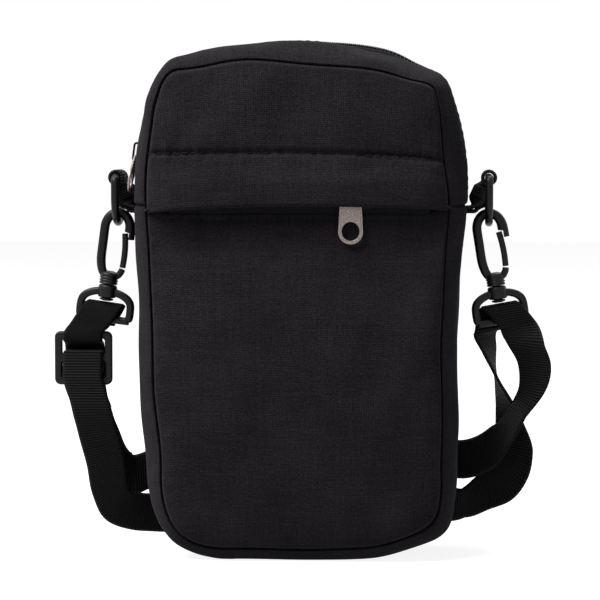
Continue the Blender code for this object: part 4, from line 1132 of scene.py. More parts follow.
@dataclass(frozen=True)
class Slump:
    """How the filled pouch bulges and leans away from its even pattern.

    Attributes:
        pushes: The soft shifts.
        front_from: Depths between which the front-only shifts fade in.
        way_low: Heights between which the main slider's way begins, which no shift moves.
        way_high: Heights between which it ends.
        way_side: Distances to the left between which it begins.
        zip_sag: How far the cloth sinks beside the main zip.
        sag_middle: Where it sinks most, across and up.
        sag_spread: How far that reaches each way.
    """

    pushes: tuple = (
        Push((-57, 168), (8, 9), (0.6, -0.2)),
        Push((-52, 174), (10, 11), (1.5, -0.9)),
        Push((-18, 190), (26, 10), (0, -1.1)),
        Push((30, 190), (16, 9), (0, 0.1)),
        Push((46, 182), (10, 9), (-1.2, -3.0)),
        Push((57, 170), (10, 12), (-0.8, -0.2)),
        Push((61, 108), (10, 20), (-1.8, 0.1)),
        Push((60, 78), (10, 22), (-2.1, 0.1)),
        Push((34, 0), (11, 10), (-0.2, 0.7)),
        Push((50, 12), (9, 11), (2.9, -2.2)),
        Push((-47, 8), (14, 13), (-1.0, -1.1)),
        Push((-58, 60), (10, 20), (-1.2, -0.1)),
        Push((-56, 166), (7, 8), (-2.9, 0.8), True),
        Push((-46, 175), (8, 8), (-1.8, 2.3), True),
        Push((-22, 180), (14, 12), (-0.2, 1.1), True),
        Push((10, 180), (22, 12), (0, -2.6), True),
        Push((38, 177), (14, 12), (0, -1.7), True),
        Push((57, 146), (12, 18), (-3.3, -0.4), True),
        Push((57, 112), (12, 22), (-1.4, 0.1), True),
        Push((56, 76), (12, 22), (-1.6, 0.1), True),
        Push((54, 38), (12, 20), (-0.9, 0), True),
        Push((0, 4), (24, 14), (0, -1.2), True),
        Push((-40, 6), (16, 14), (-1.3, -1.4), True),
        Push((-54, 38), (12, 20), (1.9, 0.1), True),
        Push((-56, 76), (12, 22), (1.1, 0), True),
        Push((-57, 112), (12, 22), (0.9, 0), True),
    )
    front_from: tuple = (8 * MM, 17 * MM)
    way_low: tuple = (126 * MM, 134 * MM)
    way_high: tuple = (168 * MM, 177 * MM)
    way_side: tuple = (30 * MM, 45 * MM)
    zip_sag: float = 3.0 * MM
    sag_middle: tuple = (29 * MM, 188 * MM)
    sag_spread: tuple = (18 * MM, 16 * MM)

    def settle(self, points: Array) -> Array:
        """The points where the settled cloth has them."""
        moved = np.array(points, float)
        x, y, z = points[..., 0], points[..., 1], points[..., 2]
        ahead = smooth_step(-y, *self.front_from)
        slider_way = smooth_step(z, *self.way_low) * (1 - smooth_step(z, *self.way_high))
        slider_way = slider_way * (1 - ahead) * smooth_step(-x, *self.way_side)
        for push in self.pushes:
            middle = [n * MM for n in push.middle]
            spread = [n * MM for n in push.spread]
            share = bump_at(x, z, middle, spread) * (ahead if push.front else 1)
            share = share * (1 - slider_way)
            moved[..., 0] += push.move[0] * MM * share
            moved[..., 2] += push.move[1] * MM * share
        return moved

    def sag(self, x: Array, z: Array) -> Array:
        """How far the cloth beside the main zip sinks below its teeth."""
        return self.zip_sag * bump_at(x, z, self.sag_middle, self.sag_spread)


@dataclass(frozen=True)
class Drape:
    """Settling of a panel by cloth simulation on a coarse copy of its grid.

    Attributes:
        cell: Size of the copy's cells.
        quality: Steps of the solver in each frame.
        mass: Mass of each of the copy's points.
        stiffness: How hard the cloth is to bend.
        pressure: Push of what is inside.
        slack: Extra cloth, as a share of its length.
        frames: Steps of the simulation.
        sunken: How much flatter than the filled shape the cloth starts.
        swell: The farthest that it then swells.
        reach: Distance from a seam at which it is sunken in full.
    """

    cell: float = 3.0 * MM
    quality: int = 8
    mass: float = 0.3
    stiffness: float = 4.0
    pressure: float = 4.0
    slack: float = 0.006
    frames: int = 20
    sunken: float = 1.6 * MM
    swell: float = 2.2 * MM
    reach: float = 16 * MM

    def picks(self, grid: Array, axis: int) -> Array:
        """Which rows or columns of the grid the coarse copy keeps."""
        middle = grid[:, grid.shape[1] // 2] if axis == 0 else grid[grid.shape[0] // 2]
        gone = lengths_along(middle)
        stops = np.linspace(0, gone[-1], max(int(gone[-1] / self.cell), 2) + 1)
        return np.unique(np.searchsorted(gone, stops).clip(0, len(gone) - 1))

    def simulate(self, coarse: Array, held: Array, front: int) -> Array:
        """Where the coarse copy's points come to rest.

        Args:
            coarse: Where its points start, in rows.
            held: Which of them are sewn down.
            front: 1 for the front of the pouch, -1 for its back.

        Returns:
            Where the points are in the end, in the same rows.
        """
        faces = grid_faces(*coarse.shape[:2])
        obj = mesh_piece("drape", coarse.reshape(-1, 3), faces)
        if sum(face.normal.y for face in obj.data.polygons) * front > 0:
            obj.data.flip_normals()
        group = obj.vertex_groups.new(name="held")
        group.add([int(i) for i in np.flatnonzero(held.ravel())], 1.0, "REPLACE")
        cloth = obj.modifiers.new("drape", "CLOTH")
        settings = cloth.settings
        settings.quality = self.quality
        settings.mass = self.mass
        settings.bending_stiffness = self.stiffness
        settings.vertex_group_mass = group.name
        settings.shrink_min = -self.slack
        settings.use_pressure = True
        settings.uniform_pressure_force = self.pressure
        settings.effector_weights.gravity = 0
        cloth.collision_settings.use_collision = False
        scene = bpy.context.scene
        for step in range(1, self.frames + 1):
            scene.frame_set(step)
        graph = bpy.context.evaluated_depsgraph_get()
        rested = obj.evaluated_get(graph).data
        flat = np.zeros(len(rested.vertices) * 3, np.float32)
        rested.vertices.foreach_get("co", flat)
        bpy.data.objects.remove(obj)
        scene.frame_set(1)
        return flat.reshape(coarse.shape).astype(float)

    def shifts(self, grid: Array, held: Array, front: int) -> Array:
        """How far each point of the fine grid moves.

        Args:
            grid: The panel's points, in rows.
            held: Which of them are sewn down.
            front: 1 for the front of the pouch, -1 for its back.
        """
        rows = self.picks(grid, 0)
        columns = self.picks(grid, 1)
        coarse = grid[np.ix_(rows, columns)]
        sewn = held[np.ix_(rows, columns)]
        flat = coarse[..., [0, 2]]
        gap = np.linalg.norm(flat[:, :, None] - flat[sewn], axis=3).min(2)
        start = coarse.copy()
        start[..., 1] += front * self.sunken * smooth_step(gap, 0, self.reach)
        swollen = self.simulate(start, sewn, front) - start
        peak = np.linalg.norm(swollen, axis=2).max()
        moved = start + swollen * self.swell / peak - coarse
        LOG.info("the panel swelled by %.2f mm before it was scaled", peak / MM)
        fine = np.zeros_like(grid)
        for k in range(3):
            tall = [np.interp(np.arange(grid.shape[0]), rows, column) for column in moved[..., k].T]
            for i, row in enumerate(np.stack(tall, 1)):
                fine[i, :, k] = np.interp(np.arange(grid.shape[1]), columns, row)
        for _ in range(5):
            fine[1:-1] = (fine[:-2] + 2 * fine[1:-1] + fine[2:]) / 4
            fine[:, 1:-1] = (fine[:, :-2] + 2 * fine[:, 1:-1] + fine[:, 2:]) / 4
        return fine


def sheet(name: str, grid: Array, thickness: float, facing: Vector) -> Piece:
    """A closed layer of cloth with its thickness behind a grid of points.

    Args:
        name: Name of the piece.
        grid: Points of its outer face, in rows.
        thickness: Thickness of the cloth.
        facing: The way that most of its outer face looks.

    Returns:
        The new piece.
    """
    normal = np.cross(np.gradient(grid, axis=1), np.gradient(grid, axis=0))
    normal /= np.linalg.norm(normal, axis=2, keepdims=True) + 1e-15
    if (normal @ np.array(facing)).sum() < 0:
        normal = -normal
    inner = grid - normal * thickness
    rows, columns = grid.shape[:2]
    count = rows * columns
    outer_faces = grid_faces(rows, columns)
    faces = outer_faces + [tuple(count + i for i in reversed(face)) for face in outer_faces]
    rim = list(range(columns))
    rim += [i * columns + columns - 1 for i in range(1, rows)]
    rim += [(rows - 1) * columns + j for j in reversed(range(columns - 1))]
    rim += [i * columns for i in reversed(range(1, rows - 1))]
    for near, far in zip(rim, rim[1:] + rim[:1]):
        faces.append((far, near, count + near, count + far))
    uv = grid_lengths(grid)
    verts = np.concatenate([grid.reshape(-1, 3), inner.reshape(-1, 3)])
    return face_outward(mesh_piece(name, verts, faces, np.concatenate([uv, uv])))


# The shell


@dataclass(frozen=True)
class FlapFolds:
    """How the yoke's cloth is folded, drawn in and gathered above the pocket's zip."""

    slack: float = 0.05 * MM
    tuck: float = 1.0 * MM
    stretch_top: float = 141 * MM
    draw: float = 0.55
    draw_reach: float = 3 * MM
    pull: float = 1.15 * MM
    pull_reach: float = 0.95 * MM
    gather: float = 0.3 * MM
    gather_pitch: float = 3.6 * MM
    gather_reach: float = 3.2 * MM
    wave: float = 0.22 * MM
    wave_pitch: float = 16 * MM
    wave_top: float = 134 * MM


@dataclass(frozen=True)
class PocketEdge:
    """How the pocket's upper edge is raised at its corners, stitched and turned in."""

    corner_start: float = 46 * MM
    corner_end: float = 53 * MM
    corner_band: float = 8 * MM
    corner_lift: float = 2.2 * MM
    stitch_drop: float = 2.2 * MM
    stitch_reach: float = 0.8 * MM
    stitch_dent: float = 0.35 * MM
    turn_in: float = 0.7 * MM
    turn_reach: float = 0.8 * MM


@dataclass(frozen=True)
class StripEdge:
    """How a gusset strip turns in at its edges and its ends, and puckers beside its seams."""

    turn: float = 1.2 * MM
    turn_drop: float = 1.3 * MM
    turn_points: int = 7
    zip_side: float = 9 * MM
    cell: float = 0.9 * MM
    inner_margin: float = 1.6 * MM
    inner_columns: int = 16
    end_drop: float = 0.9 * MM
    end_reach: float = 1.1 * MM
    dent_pitch: float = 17 * MM
    dent_from_edge: float = 5 * MM
    dent_from_end: float = 8 * MM
    pucker_pitch: float = 6 * MM
    pucker_middle: float = 2.4 * MM
    pucker_reach: float = 1.8 * MM
    floor_height: float = 6 * MM
    tab_edges: tuple = (7.5 * MM, 8.2 * MM)
    tab_foot: tuple = (123.1 * MM, 123.9 * MM)
    tab_inset: float = 1.1 * MM
    sag_band: tuple = (11 * MM, 16 * MM)
    proud_band: tuple = (11 * MM, 17 * MM)


@dataclass
class Shell:
    """The sewn outside: front yoke with its flap, front pocket, back and gussets."""

    outline: Outline
    slump: Slump
    maker: Maker
    flap_height: float = 126 * MM
    stitch_height: float = 145.9 * MM
    pocket_top: float = 124.6 * MM
    yoke_crown: float = 4.0 * MM
    flap_rise: float = 3.0 * MM
    flap_full: float = 133.8 * MM
    flap_fade: float = 145 * MM
    seam_reach: float = 56 * MM
    hem_height: float = 126.9 * MM
    hem_drop: float = 1.5 * MM
    hem_left_drop: float = 1.2 * MM
    stitch_pitch: float = 3.2 * MM
    stitch_length: float = 2.4 * MM
    stitch_reach: float = 54.5 * MM
    stitch_sunk: float = 1.05 * MM
    stitch_right_drop: float = 2.6 * MM
    stitch_left_drop: float = 0.5 * MM
    pocket_full: float = 82 * MM
    pocket_flat: float = 118 * MM
    pocket_crown: float = 4.9 * MM
    pocket_top_crown: float = 0.4 * MM
    back_crown: float = 3.5 * MM
    roll_height: float = 30 * MM
    seam_roll: float = 1.25 * MM
    seam_groove: float = 0.75 * MM
    panel_pucker: float = 0.16 * MM
    panel_dent: float = 0.2 * MM
    strip_pucker: float = 0.14 * MM
    strip_dent: float = 0.28 * MM
    tab_dent: float = 1.15 * MM
    cell: float = 0.85 * MM
    columns: int = 130
    front_seam_depth: float = 16.7 * MM
    back_seam_depth: float = 16.7 * MM
    front_proud: float = 2.0 * MM
    back_proud: float = 1.0 * MM
    zip_fabric_edge: float = 6.0 * MM
    flap_folds: FlapFolds = FlapFolds()
    pocket_edge: PocketEdge = PocketEdge()
    strip_edge: StripEdge = StripEdge()
    drape: Drape = Drape()

    @property
    def front_rim(self) -> float:
        """Depth of the front panels' outer face beside the seam."""
        layers = FIT.gap + FIT.pocket_back + FIT.gap + FIT.fabric
        return self.outline.half_depth + layers

    @property
    def back_rim(self) -> float:
        """Depth of the back panel's outer face beside the seam."""
        return self.outline.half_depth + FIT.gap + FIT.fabric

    def top_of_panel(self) -> float:
        """Height of the front seam in the middle of the top."""
        crest_z, crest_radius, _ = self.outline.crest()
        return crest_z + crest_radius - self.outline.top_inset

    def hem(self, x: Array) -> Array:
        """Height of the flap's lower edge across the front."""
        share = x / self.seam_reach
        left = np.where(x < 0, share**2, 0)
        return self.hem_height - self.hem_drop * share**2 - self.hem_left_drop * left

    def stitch_line(self, x: Array) -> Array:
        """Height of the topstitch above the flap."""
        right = self.stitch_right_drop * np.clip(x / (52 * MM), 0, None) ** 1.3
        left = self.stitch_left_drop * (x < 0) * (x / self.seam_reach) ** 2
        return self.stitch_height - right - left

    def bow(self, across: Array) -> Array:
        """Height of the arc over the top, from 0 at its ends to 1 in the middle."""
        _, crest_radius, angle = self.outline.crest()
        radius = crest_radius - self.outline.top_inset
        end = radius * math.cos(angle)
        low = math.sqrt(radius**2 - end**2)
        return (np.sqrt(radius**2 - (across * end) ** 2) - low) / (radius - low)

    def rise_from(self, height: Array, low: float) -> Array:
        """0 at a seam and 1 from a roll's height above it."""
        return 1 - (1 - np.clip((height - low) / self.roll_height, 0, 1)) ** 3

    def yoke_depth(self, across: Array, z: Array) -> Array:
        """Full over the zip and drawn in at the stitch line above it."""
        share = np.clip((z - self.flap_height) / (self.top_of_panel() - self.flap_height), 0, 1)
        crown = self.yoke_crown * (1 - share**3)
        crown = crown + self.flap_rise * (1 - smooth_step(z, self.flap_full, self.flap_fade))
        return self.front_rim + crown * (1 - np.abs(across) ** 8)

    def pocket_depth(self, across: Array, z: Array) -> Array:
        """Full below and pressed flat under the flap."""
        flat = smooth_step(z, self.pocket_full, self.pocket_flat)
        crown = self.pocket_crown + (self.pocket_top_crown - self.pocket_crown) * flat
        rise = self.rise_from(z, self.outline.base_inset)
        return self.front_rim + crown * (1 - across**10) * rise

    def back_depth(self, across: Array, z: Array) -> Array:
        """Gently full in the middle."""
        base = self.outline.base_inset
        up = self.rise_from(2 * base + self.top_of_panel() - z, 2 * base)
        full = (1 - np.abs(across) ** 6) * self.rise_from(z, base) * up
        return self.back_rim + self.back_crown * full

    def panel(self, stations: Array, bows: Array, depth: Callable, front: int) -> Array:
        """A grid across a panel between its side seams, each row bowed up by its own amount."""
        ends = self.outline.seam_points(stations)
        across = np.sin(math.pi / 2 * np.linspace(-1, 1, self.columns + 1))
        x = ends[:, 0:1] * across
        z = ends[:, 2:3] + bows[:, None] * self.bow(across)
        y = -front * depth(np.broadcast_to(across, x.shape), z)
        return np.stack([x, y, z], 2)

    def upper_rows(self, start: float) -> tuple:
        """Stations from a side height to the shoulder's end, and each row's bow."""
        stations = self.outline.sampled(self.outline.upper_half(start)[:2], self.cell)
        heights = self.outline.seam_points(stations)[:, 2]
        rise = self.top_of_panel() - heights[-1]
        return stations, rise * smooth_step(heights, heights[0], heights[-1])

    def lower_rows(self, end: float) -> Array:
        """Stations from the base corner's foot to a side height."""
        return self.outline.sampled(self.outline.lower_half(end)[1:], self.cell)

    def angle_at(self, height: float) -> float:
        """The outward angle of the side at a height near the side seam."""
        return math.asin((height - self.outline.seam_height) / self.outline.side_radius)

    def seam_share(self, grid: Array) -> tuple:
        """How far each point is from the seam, and where along it."""
        gap, along = along_line(self.outline.seam_line(), grid[..., [0, 2]].reshape(-1, 2))
        return gap.reshape(grid.shape[:2]), along.reshape(grid.shape[:2])

    def rolled(self, grid: Array, seam_depth: float, front: int, seed: int) -> Array:
        """The panel's edges rolled in to the seam, with the small puckers that sewing leaves."""
        gap, along = self.seam_share(grid)
        share = np.clip((gap - self.seam_groove) / self.seam_roll, 0, 1)
        quarter = np.sqrt(1 - (1 - share) ** 2)
        depth = -front * grid[..., 1]
        beside = np.exp(-(((gap - 2.6 * MM) / (2.4 * MM)) ** 2))
        puckers = self.panel_pucker * ripples(along, gap * 0.2, 7 * MM, seed) * beside
        dents = self.panel_dent * ripples(grid[..., 0], grid[..., 2], 26 * MM, seed + 1)
        depth = depth + quarter * (puckers + dents * smooth_step(gap, 0, 12 * MM))
        rolled = grid.copy()
        rolled[..., 1] = -front * (seam_depth + (depth - seam_depth) * quarter)
        return rolled

    def front_yoke(self) -> Piece:
        """The yoke, whose lower edge is folded back as a flap over the zip."""
        folds = self.flap_folds
        stations, bows = self.upper_rows(self.angle_at(self.flap_height))
        grid = self.panel(stations, bows, self.yoke_depth, 1)[::-1]
        x = grid[..., 0]
        near_side = (np.abs(x) / self.seam_reach).clip(0, 1) ** 10
        fold = (FIT.fabric + folds.slack) * (1 - 0.7 * near_side)
        lift = self.hem(x) + fold - self.flap_height
        grid[..., 2] += lift * (1 - smooth_step(grid[..., 2], self.flap_height, folds.stretch_top))
        line = self.stitch_line(x)
        above = grid[..., 2] - line
        grid[..., 2] -= above * folds.draw * np.exp(-((above / folds.draw_reach) ** 2))
        above = grid[..., 2] - line
        held = self.seam_share(grid)[0] < self.seam_roll
        held[-1] = True
        nearest = np.abs(above).argmin(0)
        held[nearest, np.arange(grid.shape[1])] = True
        grid = grid + self.drape.shifts(grid, held, 1)
        pull = folds.pull * np.exp(-((above / folds.pull_reach) ** 2))
        near_line = np.exp(-((above / folds.gather_reach) ** 2))
        gathers = ripples(x, above * 0.15, folds.gather_pitch, 11, 5) * near_line
        waves = ripples(x, np.zeros_like(x), folds.wave_pitch, 12, 4)
        near_hem = 1 - smooth_step(grid[..., 2], self.flap_height, folds.wave_top)
        grid[..., 1] += pull + folds.gather * gathers - folds.wave * waves * near_hem
        grid = self.rolled(grid, self.front_seam_depth, 1, 20)
        wrap = self.hem_fold(grid[-1], fold[-1])
        grid = self.slump.settle(np.concatenate([grid, wrap]))
        return sheet("front_yoke", grid, FIT.fabric, Vector((0, -1, 0)))

    def hem_fold(self, edge: Array, radius: Array) -> Array:
        """Rows that carry the flap's edge round its fold and a little way up inside."""
        rows = []
        for turn in np.linspace(0, math.pi, 10)[1:]:
            row = edge.copy()
            row[:, 1] += radius * (1 - math.cos(turn))
            row[:, 2] -= radius * math.sin(turn)
            rows.append(row)
        for up in np.linspace(0, self.flap_folds.tuck, 3)[1:]:
            row = rows[8].copy()
            row[:, 2] += up
            rows.append(row)
        return np.array(rows)

    def front_pocket(self) -> Piece:
        """The pocket's panel, from under the flap down to the base seam."""
        edge = self.pocket_edge
        stations = self.lower_rows(self.angle_at(self.pocket_top))
        grid = self.panel(stations, np.zeros(len(stations)), self.pocket_depth, 1)
        side = smooth_step(np.abs(grid[..., 0]), edge.corner_start, edge.corner_end)
        near_top = smooth_step(grid[..., 2], self.pocket_top - edge.corner_band, self.pocket_top)
        grid[..., 2] += edge.corner_lift * side * near_top
        held = self.seam_share(grid)[0] < self.seam_roll
        held[-1] = True
        grid = grid + self.drape.shifts(grid, held, 1)
        under = self.pocket_top - grid[..., 2]
        groove = np.exp(-(((under - edge.stitch_drop) / edge.stitch_reach) ** 2))
        grid[..., 1] += edge.stitch_dent * groove * (1 - side)
        grid[..., 1] += edge.turn_in * (1 - np.clip(under / edge.turn_reach, 0, 1)) ** 2
        grid = self.rolled(grid, self.front_seam_depth, 1, 30)
        return sheet("front_pocket", self.slump.settle(grid), FIT.fabric, Vector((0, -1, 0)))

    def back(self) -> Piece:
        """The back panel, in one piece."""
        lower = self.lower_rows(0.0)
        upper, bows = self.upper_rows(0.0)
        stations = np.concatenate([lower, upper[1:]])
        bows = np.concatenate([np.zeros(len(lower)), bows[1:]])
        grid = self.panel(stations, bows, self.back_depth, -1)
        held = self.seam_share(grid)[0] < self.seam_roll
        grid = grid + self.drape.shifts(grid, held, -1)
        grid = self.rolled(grid, self.back_seam_depth, -1, 40)
        return sheet("back", self.slump.settle(grid), FIT.fabric, Vector((0, 1, 0)))

    def gusset_section(self, low: float, high: float) -> tuple:
        """Depths over the outer face and back under it, and each one's inset.

        Args:
            low: Depth at which the strip starts.
            high: Depth at which it ends.

        Returns:
            Depths, insets, and 1 for points of the outer face and 0 for the inner.
        """
        strip = self.strip_edge
        turn, margin, count = strip.turn, strip.inner_margin, strip.inner_columns
        edges = np.sin(np.linspace(0, math.pi / 2, strip.turn_points))[1:] * turn
        middle = np.linspace(low + turn, high - turn, int((high - low) / strip.cell))
        outer = np.concatenate([low + turn - edges[::-1], middle, high - turn + edges])
        past = np.maximum(np.maximum(low + turn - outer, outer - (high - turn)), 0) / turn
        rounded_off = 1 - np.sqrt(np.clip(1 - past**2, 0, 1))
        lift = strip.turn_drop * rounded_off * (np.abs(outer) < strip.zip_side)
        inner = np.linspace(high - margin, low + margin, count)
        depths = np.concatenate([outer, inner])
        insets = np.concatenate([lift, np.full(count, FIT.fabric)])
        return depths, insets, np.concatenate([np.ones(len(outer)), np.zeros(count)])

    def strip(
        self, name: str, stations: Array, low: float, high: float, seed: int
    ) -> Piece:
        """A gusset strip along a way, with its ends turned in at the side seams.

        Args:
            name: Name of the piece.
            stations: The outline's stations along it.
            low: Depth of its front edge.
            high: Depth of its rear edge.
            seed: Seed of its waves.

        Returns:
            The new piece.
        """
        sizes = self.strip_edge
        depths, insets, outer = self.gusset_section(low, high)
        rings = self.outline.gusset_points(stations, depths, insets)
        x, z = rings[..., 0], rings[..., 2]
        gone = lengths_along(rings[:, 4])
        from_end = np.minimum(gone, gone[-1] - gone)[:, None]
        turned_in = 1 - np.clip(from_end / sizes.end_reach, 0, 1)
        end = sizes.end_drop * (1 - np.sqrt(1 - turned_in**2))
        waves = self.strip_dent * ripples(gone[:, None], depths * 1.4, sizes.dent_pitch, seed)
        edge = np.minimum(depths - low, high - depths).clip(0)
        beside = np.exp(-(((edge - sizes.pucker_middle) / sizes.pucker_reach) ** 2))
        puckers = ripples(gone[:, None], depths * 0.3, sizes.pucker_pitch, seed + 1)
        puckers = self.strip_pucker * puckers * beside
        full = smooth_step(edge, 0, sizes.dent_from_edge)
        full = full * smooth_step(from_end, 0, sizes.dent_from_end)
        on_floor = np.abs(x) < self.outline.half_flat
        rest = (1 - on_floor * (z < sizes.floor_height)) * outer
        shift = end * outer - (waves * full + puckers) * rest
        tab = 1 - smooth_step(np.abs(depths), *sizes.tab_edges)
        tab = tab * smooth_step(z, *sizes.tab_foot) * (z < self.outline.seam_height)
        tab = tab * (insets < sizes.tab_inset)
        off_seam = 1 - smooth_step(np.abs(depths), *sizes.sag_band)
        shift = shift + self.tab_dent * tab + self.slump.sag(x, z) * off_seam
        rings = self.outline.gusset_points(stations, depths, insets + shift)
        proud = np.where(depths < 0, self.front_proud, self.back_proud)
        rings[..., 1] += np.sign(depths) * proud * smooth_step(np.abs(depths), *sizes.proud_band)
        count = int(outer.sum())
        parts = [rings[:, :count]]
        if high == self.outline.half_depth:
            parts.append(self.curl(stations, rings[:, count - 1], -1))
        parts.append(rings[:, count:])
        if low == -self.outline.half_depth:
            parts.append(self.curl(stations, rings[:, 0], 1)[:, ::-1])
        return swept(name, self.slump.settle(np.concatenate(parts, 1)))

    def curl(self, stations: Array, edge: Array, way: int) -> Array:
        """The gusset's edge turned back into the seam's groove."""
        steps = ((0.2, 0.3), (0.7, 0.5), (1.6, 0.6))
        away = outward(stations) * MM
        return np.stack([edge - away * inset + (0, way * back * MM, 0) for back, inset in steps], 1)

    def gussets(self) -> list:
        """The lower gusset and the two strips beside the main zip."""
        deep = self.outline.half_depth
        end = FIT.gap / 2 / self.outline.side_radius
        lower = self.outline.lower_way(self.cell, -end)
        upper = self.outline.upper_way(self.cell, end)
        edge = self.zip_fabric_edge
        return [
            (self.strip("lower_gusset_cloth", lower, -deep, deep, 50), "lower_gusset"),
            (self.strip("zip_gusset_front_cloth", upper, -deep, -edge, 60), "zip_gusset_front"),
            (self.strip("zip_gusset_rear_cloth", upper, edge, deep, 70), "zip_gusset_rear"),
        ]

    def flap_stitches(self) -> Piece:
        """The topstitch across the front, above the flap."""
        x = np.linspace(-self.stitch_reach, self.stitch_reach, 220)
        z = self.stitch_line(x)
        end = np.interp(z, *self.side_ends())
        y = self.stitch_sunk - self.yoke_depth(x / end, z)
        line = self.slump.settle(np.stack([x, y, z], 1))
        normals = np.tile([0.0, -1.0, 0.0], (len(x), 1))
        places = stitches_along(line, normals, self.stitch_pitch)
        item = stitch_item(self.stitch_length, 0.2 * MM)
        return Repeats("flap_stitches", item, places, 5).build(self.maker.finishes.thread)

    def side_ends(self) -> tuple:
        """Heights and half widths of the seam beside the yoke."""
        stations = self.outline.sampled(self.outline.upper_half()[:1], 4 * MM)
        ends = self.outline.seam_points(stations)
        return ends[:, 2], ends[:, 0]

    def zip_stitches(self) -> Piece:
        """Topstitches beside the main zip, front and rear."""
        way = self.outline.upper_way(1.0 * MM, 1.5 * MM / self.outline.side_radius)
        places = []
        for side in (-1, 1):
            depth = np.array([side * (self.zip_fabric_edge + 2.0 * MM)])
            even = self.outline.gusset_points(way, depth, 0.0)
            sunk = 0.22 * MM + self.slump.sag(even[..., 0], even[..., 2])
            line = self.outline.gusset_points(way, depth, sunk)[:, 0]
            places += stitches_along(self.slump.settle(line), outward(way), self.stitch_pitch)
        item = stitch_item(self.stitch_length, 0.17 * MM)
        return Repeats("zip_stitches", item, places, 6).build(self.maker.finishes.thread)

    def build(self) -> None:
        """Makes and dresses the shell."""
        cloth = self.maker.finishes.cloth
        place = self.maker.place
        place(self.front_yoke(), cloth, "bag", Slot.SHELL, ["front_yoke_panel"])
        place(self.front_pocket(), cloth, "bag", Slot.SHELL, ["front_pocket_panel"])
        place(self.back(), cloth, "bag", Slot.SHELL, ["back_panel"])
        for piece, node in self.gussets():
            place(piece, cloth, "bag", Slot.SHELL, [node])
        thread = self.maker.finishes.thread
        place(self.flap_stitches(), thread, "bag", Slot.SHELL)
        place(self.zip_stitches(), thread, "bag", Slot.SHELL)


@dataclass
class Inside:
    """What lies inside the shell: the pocket's back, foam, linings and seam bindings."""

    outline: Outline
    slump: Slump
    maker: Maker
    step: float = 2.0 * MM
    gusset_half_width: float = 12.6 * MM
    middle_height: float = 95 * MM
    pocket_back_inset: float = 2.2 * MM
    edge_rounding: float = 0.25 * MM
    foam_dents: float = 0.2 * MM
    lining_dents: float = 0.1 * MM

    def layer(
        self, name: str, inset: float, depth: float, thickness: float, dents: float
    ) -> Piece:
        """A flat layer of the body's outline.

        Args:
            name: Name of the piece.
            inset: How far it stands in from the seam.
            depth: Its outer face's distance from the body's middle, less than 0 in front.
            thickness: Its thickness.
            dents: How deep its soft dents are.

        Returns:
            The new piece.
        """
        rim = self.outline.seam_points(self.outline.closed_way(self.step), inset)
        middle = np.array([0.0, 0.0, self.middle_height])
        facing = math.copysign(1.0, depth)
        shares = np.concatenate([np.linspace(0.04, 0.96, 26), [0.985, 1.0]])
        rings = []
        for face, back in ((shares, 0.0), (shares[::-1], thickness)):
            for share in face:
                ring = middle + (rim - middle) * share
                low = dents * np.abs(ripples(ring[:, 0], ring[:, 2], 14 * MM, 81)) * (share < 0.98)
                rounding = self.edge_rounding if share == 1.0 else 0.0
                ring[:, 1] = depth - facing * (back - rounding if back else low + rounding)
                rings.append(ring)
        return swept(name, self.slump.settle(np.array(rings)))

    def binding(self, name: str, side: int) -> Piece:
        """A tape folded over the seam allowance, once round."""
        stations = self.outline.closed_way(self.step)
        middle = side * (self.outline.half_depth - FIT.gap / 2 - FIT.binding_width / 2)
        half = (FIT.binding_width - FIT.gap / 2) / 2
        turn = np.linspace(0, math.tau, 16, endpoint=False)
        depths = middle + half * np.sign(np.cos(turn)) * np.abs(np.cos(turn)) ** 0.4
        raise_by = FIT.binding / 2 * np.sign(np.sin(turn)) * np.abs(np.sin(turn)) ** 0.6
        seam = self.outline.seam_inset(stations[:, 3:4])
        insets = seam + FIT.fabric + FIT.binding / 2 + raise_by
        rings = self.outline.points(stations, insets, depths)
        return swept(name, self.slump.settle(rings), closed=True)

    def lining_gusset(self) -> Piece:
        """The lining's strip round the sides and the base."""
        end = FIT.gap / 2 / self.outline.side_radius
        stations = self.outline.lower_way(self.step, -end)
        wide = self.gusset_half_width
        outer = np.linspace(-wide, wide, 26)
        depths = np.concatenate([outer, outer[::-1]])
        inset = FIT.fabric + 2 * FIT.gap
        along = np.arange(len(stations))[:, None] * self.step
        soft = 0.15 * MM * np.abs(ripples(along, outer, 12 * MM, 83))
        insets = np.concatenate([inset + soft, inset + soft[:, ::-1] + FIT.lining], 1)
        rings = self.outline.gusset_points(stations, depths, insets)
        return swept("lining_gusset_cloth", self.slump.settle(rings))

    def build(self) -> None:
        """Makes and dresses the inner pieces."""
        finishes = self.maker.finishes
        place = self.maker.place
        pocket_face = self.outline.half_depth + FIT.gap + FIT.pocket_back
        inset = FIT.fabric + FIT.gap + FIT.binding + FIT.gap
        foam_face = self.outline.half_depth - FIT.gap
        lining_face = foam_face - FIT.foam - FIT.gap
        wide = self.pocket_back_inset
        back = self.layer("pocket_back_cloth", wide, -pocket_face, FIT.pocket_back, 0.0)
        place(back, finishes.lining, "bag", Slot.LINING, ["pocket_back_panel"])
        for side, word in ((-1, "front"), (1, "back")):
            face = side * foam_face
            foam = self.layer(f"foam_{word}_sheet", inset, face, FIT.foam, self.foam_dents)
            place(foam, finishes.foam, "bag", Slot.FOAM, [f"foam_{word}"])
            face = side * lining_face
            lining = self.layer(f"lining_{word}_cloth", inset, face, FIT.lining, self.lining_dents)
            place(lining, finishes.lining, "bag", Slot.LINING, [f"lining_{word}"])
        place(self.lining_gusset(), finishes.lining, "bag", Slot.LINING, ["lining_gusset"])
        for side, word in ((-1, "front"), (1, "rear")):
            piece = self.binding(f"binding_{word}", side)
            place(piece, finishes.lining, "bag", Slot.LINING, [f"seam_binding_{word}"])


# Zips and their sliders


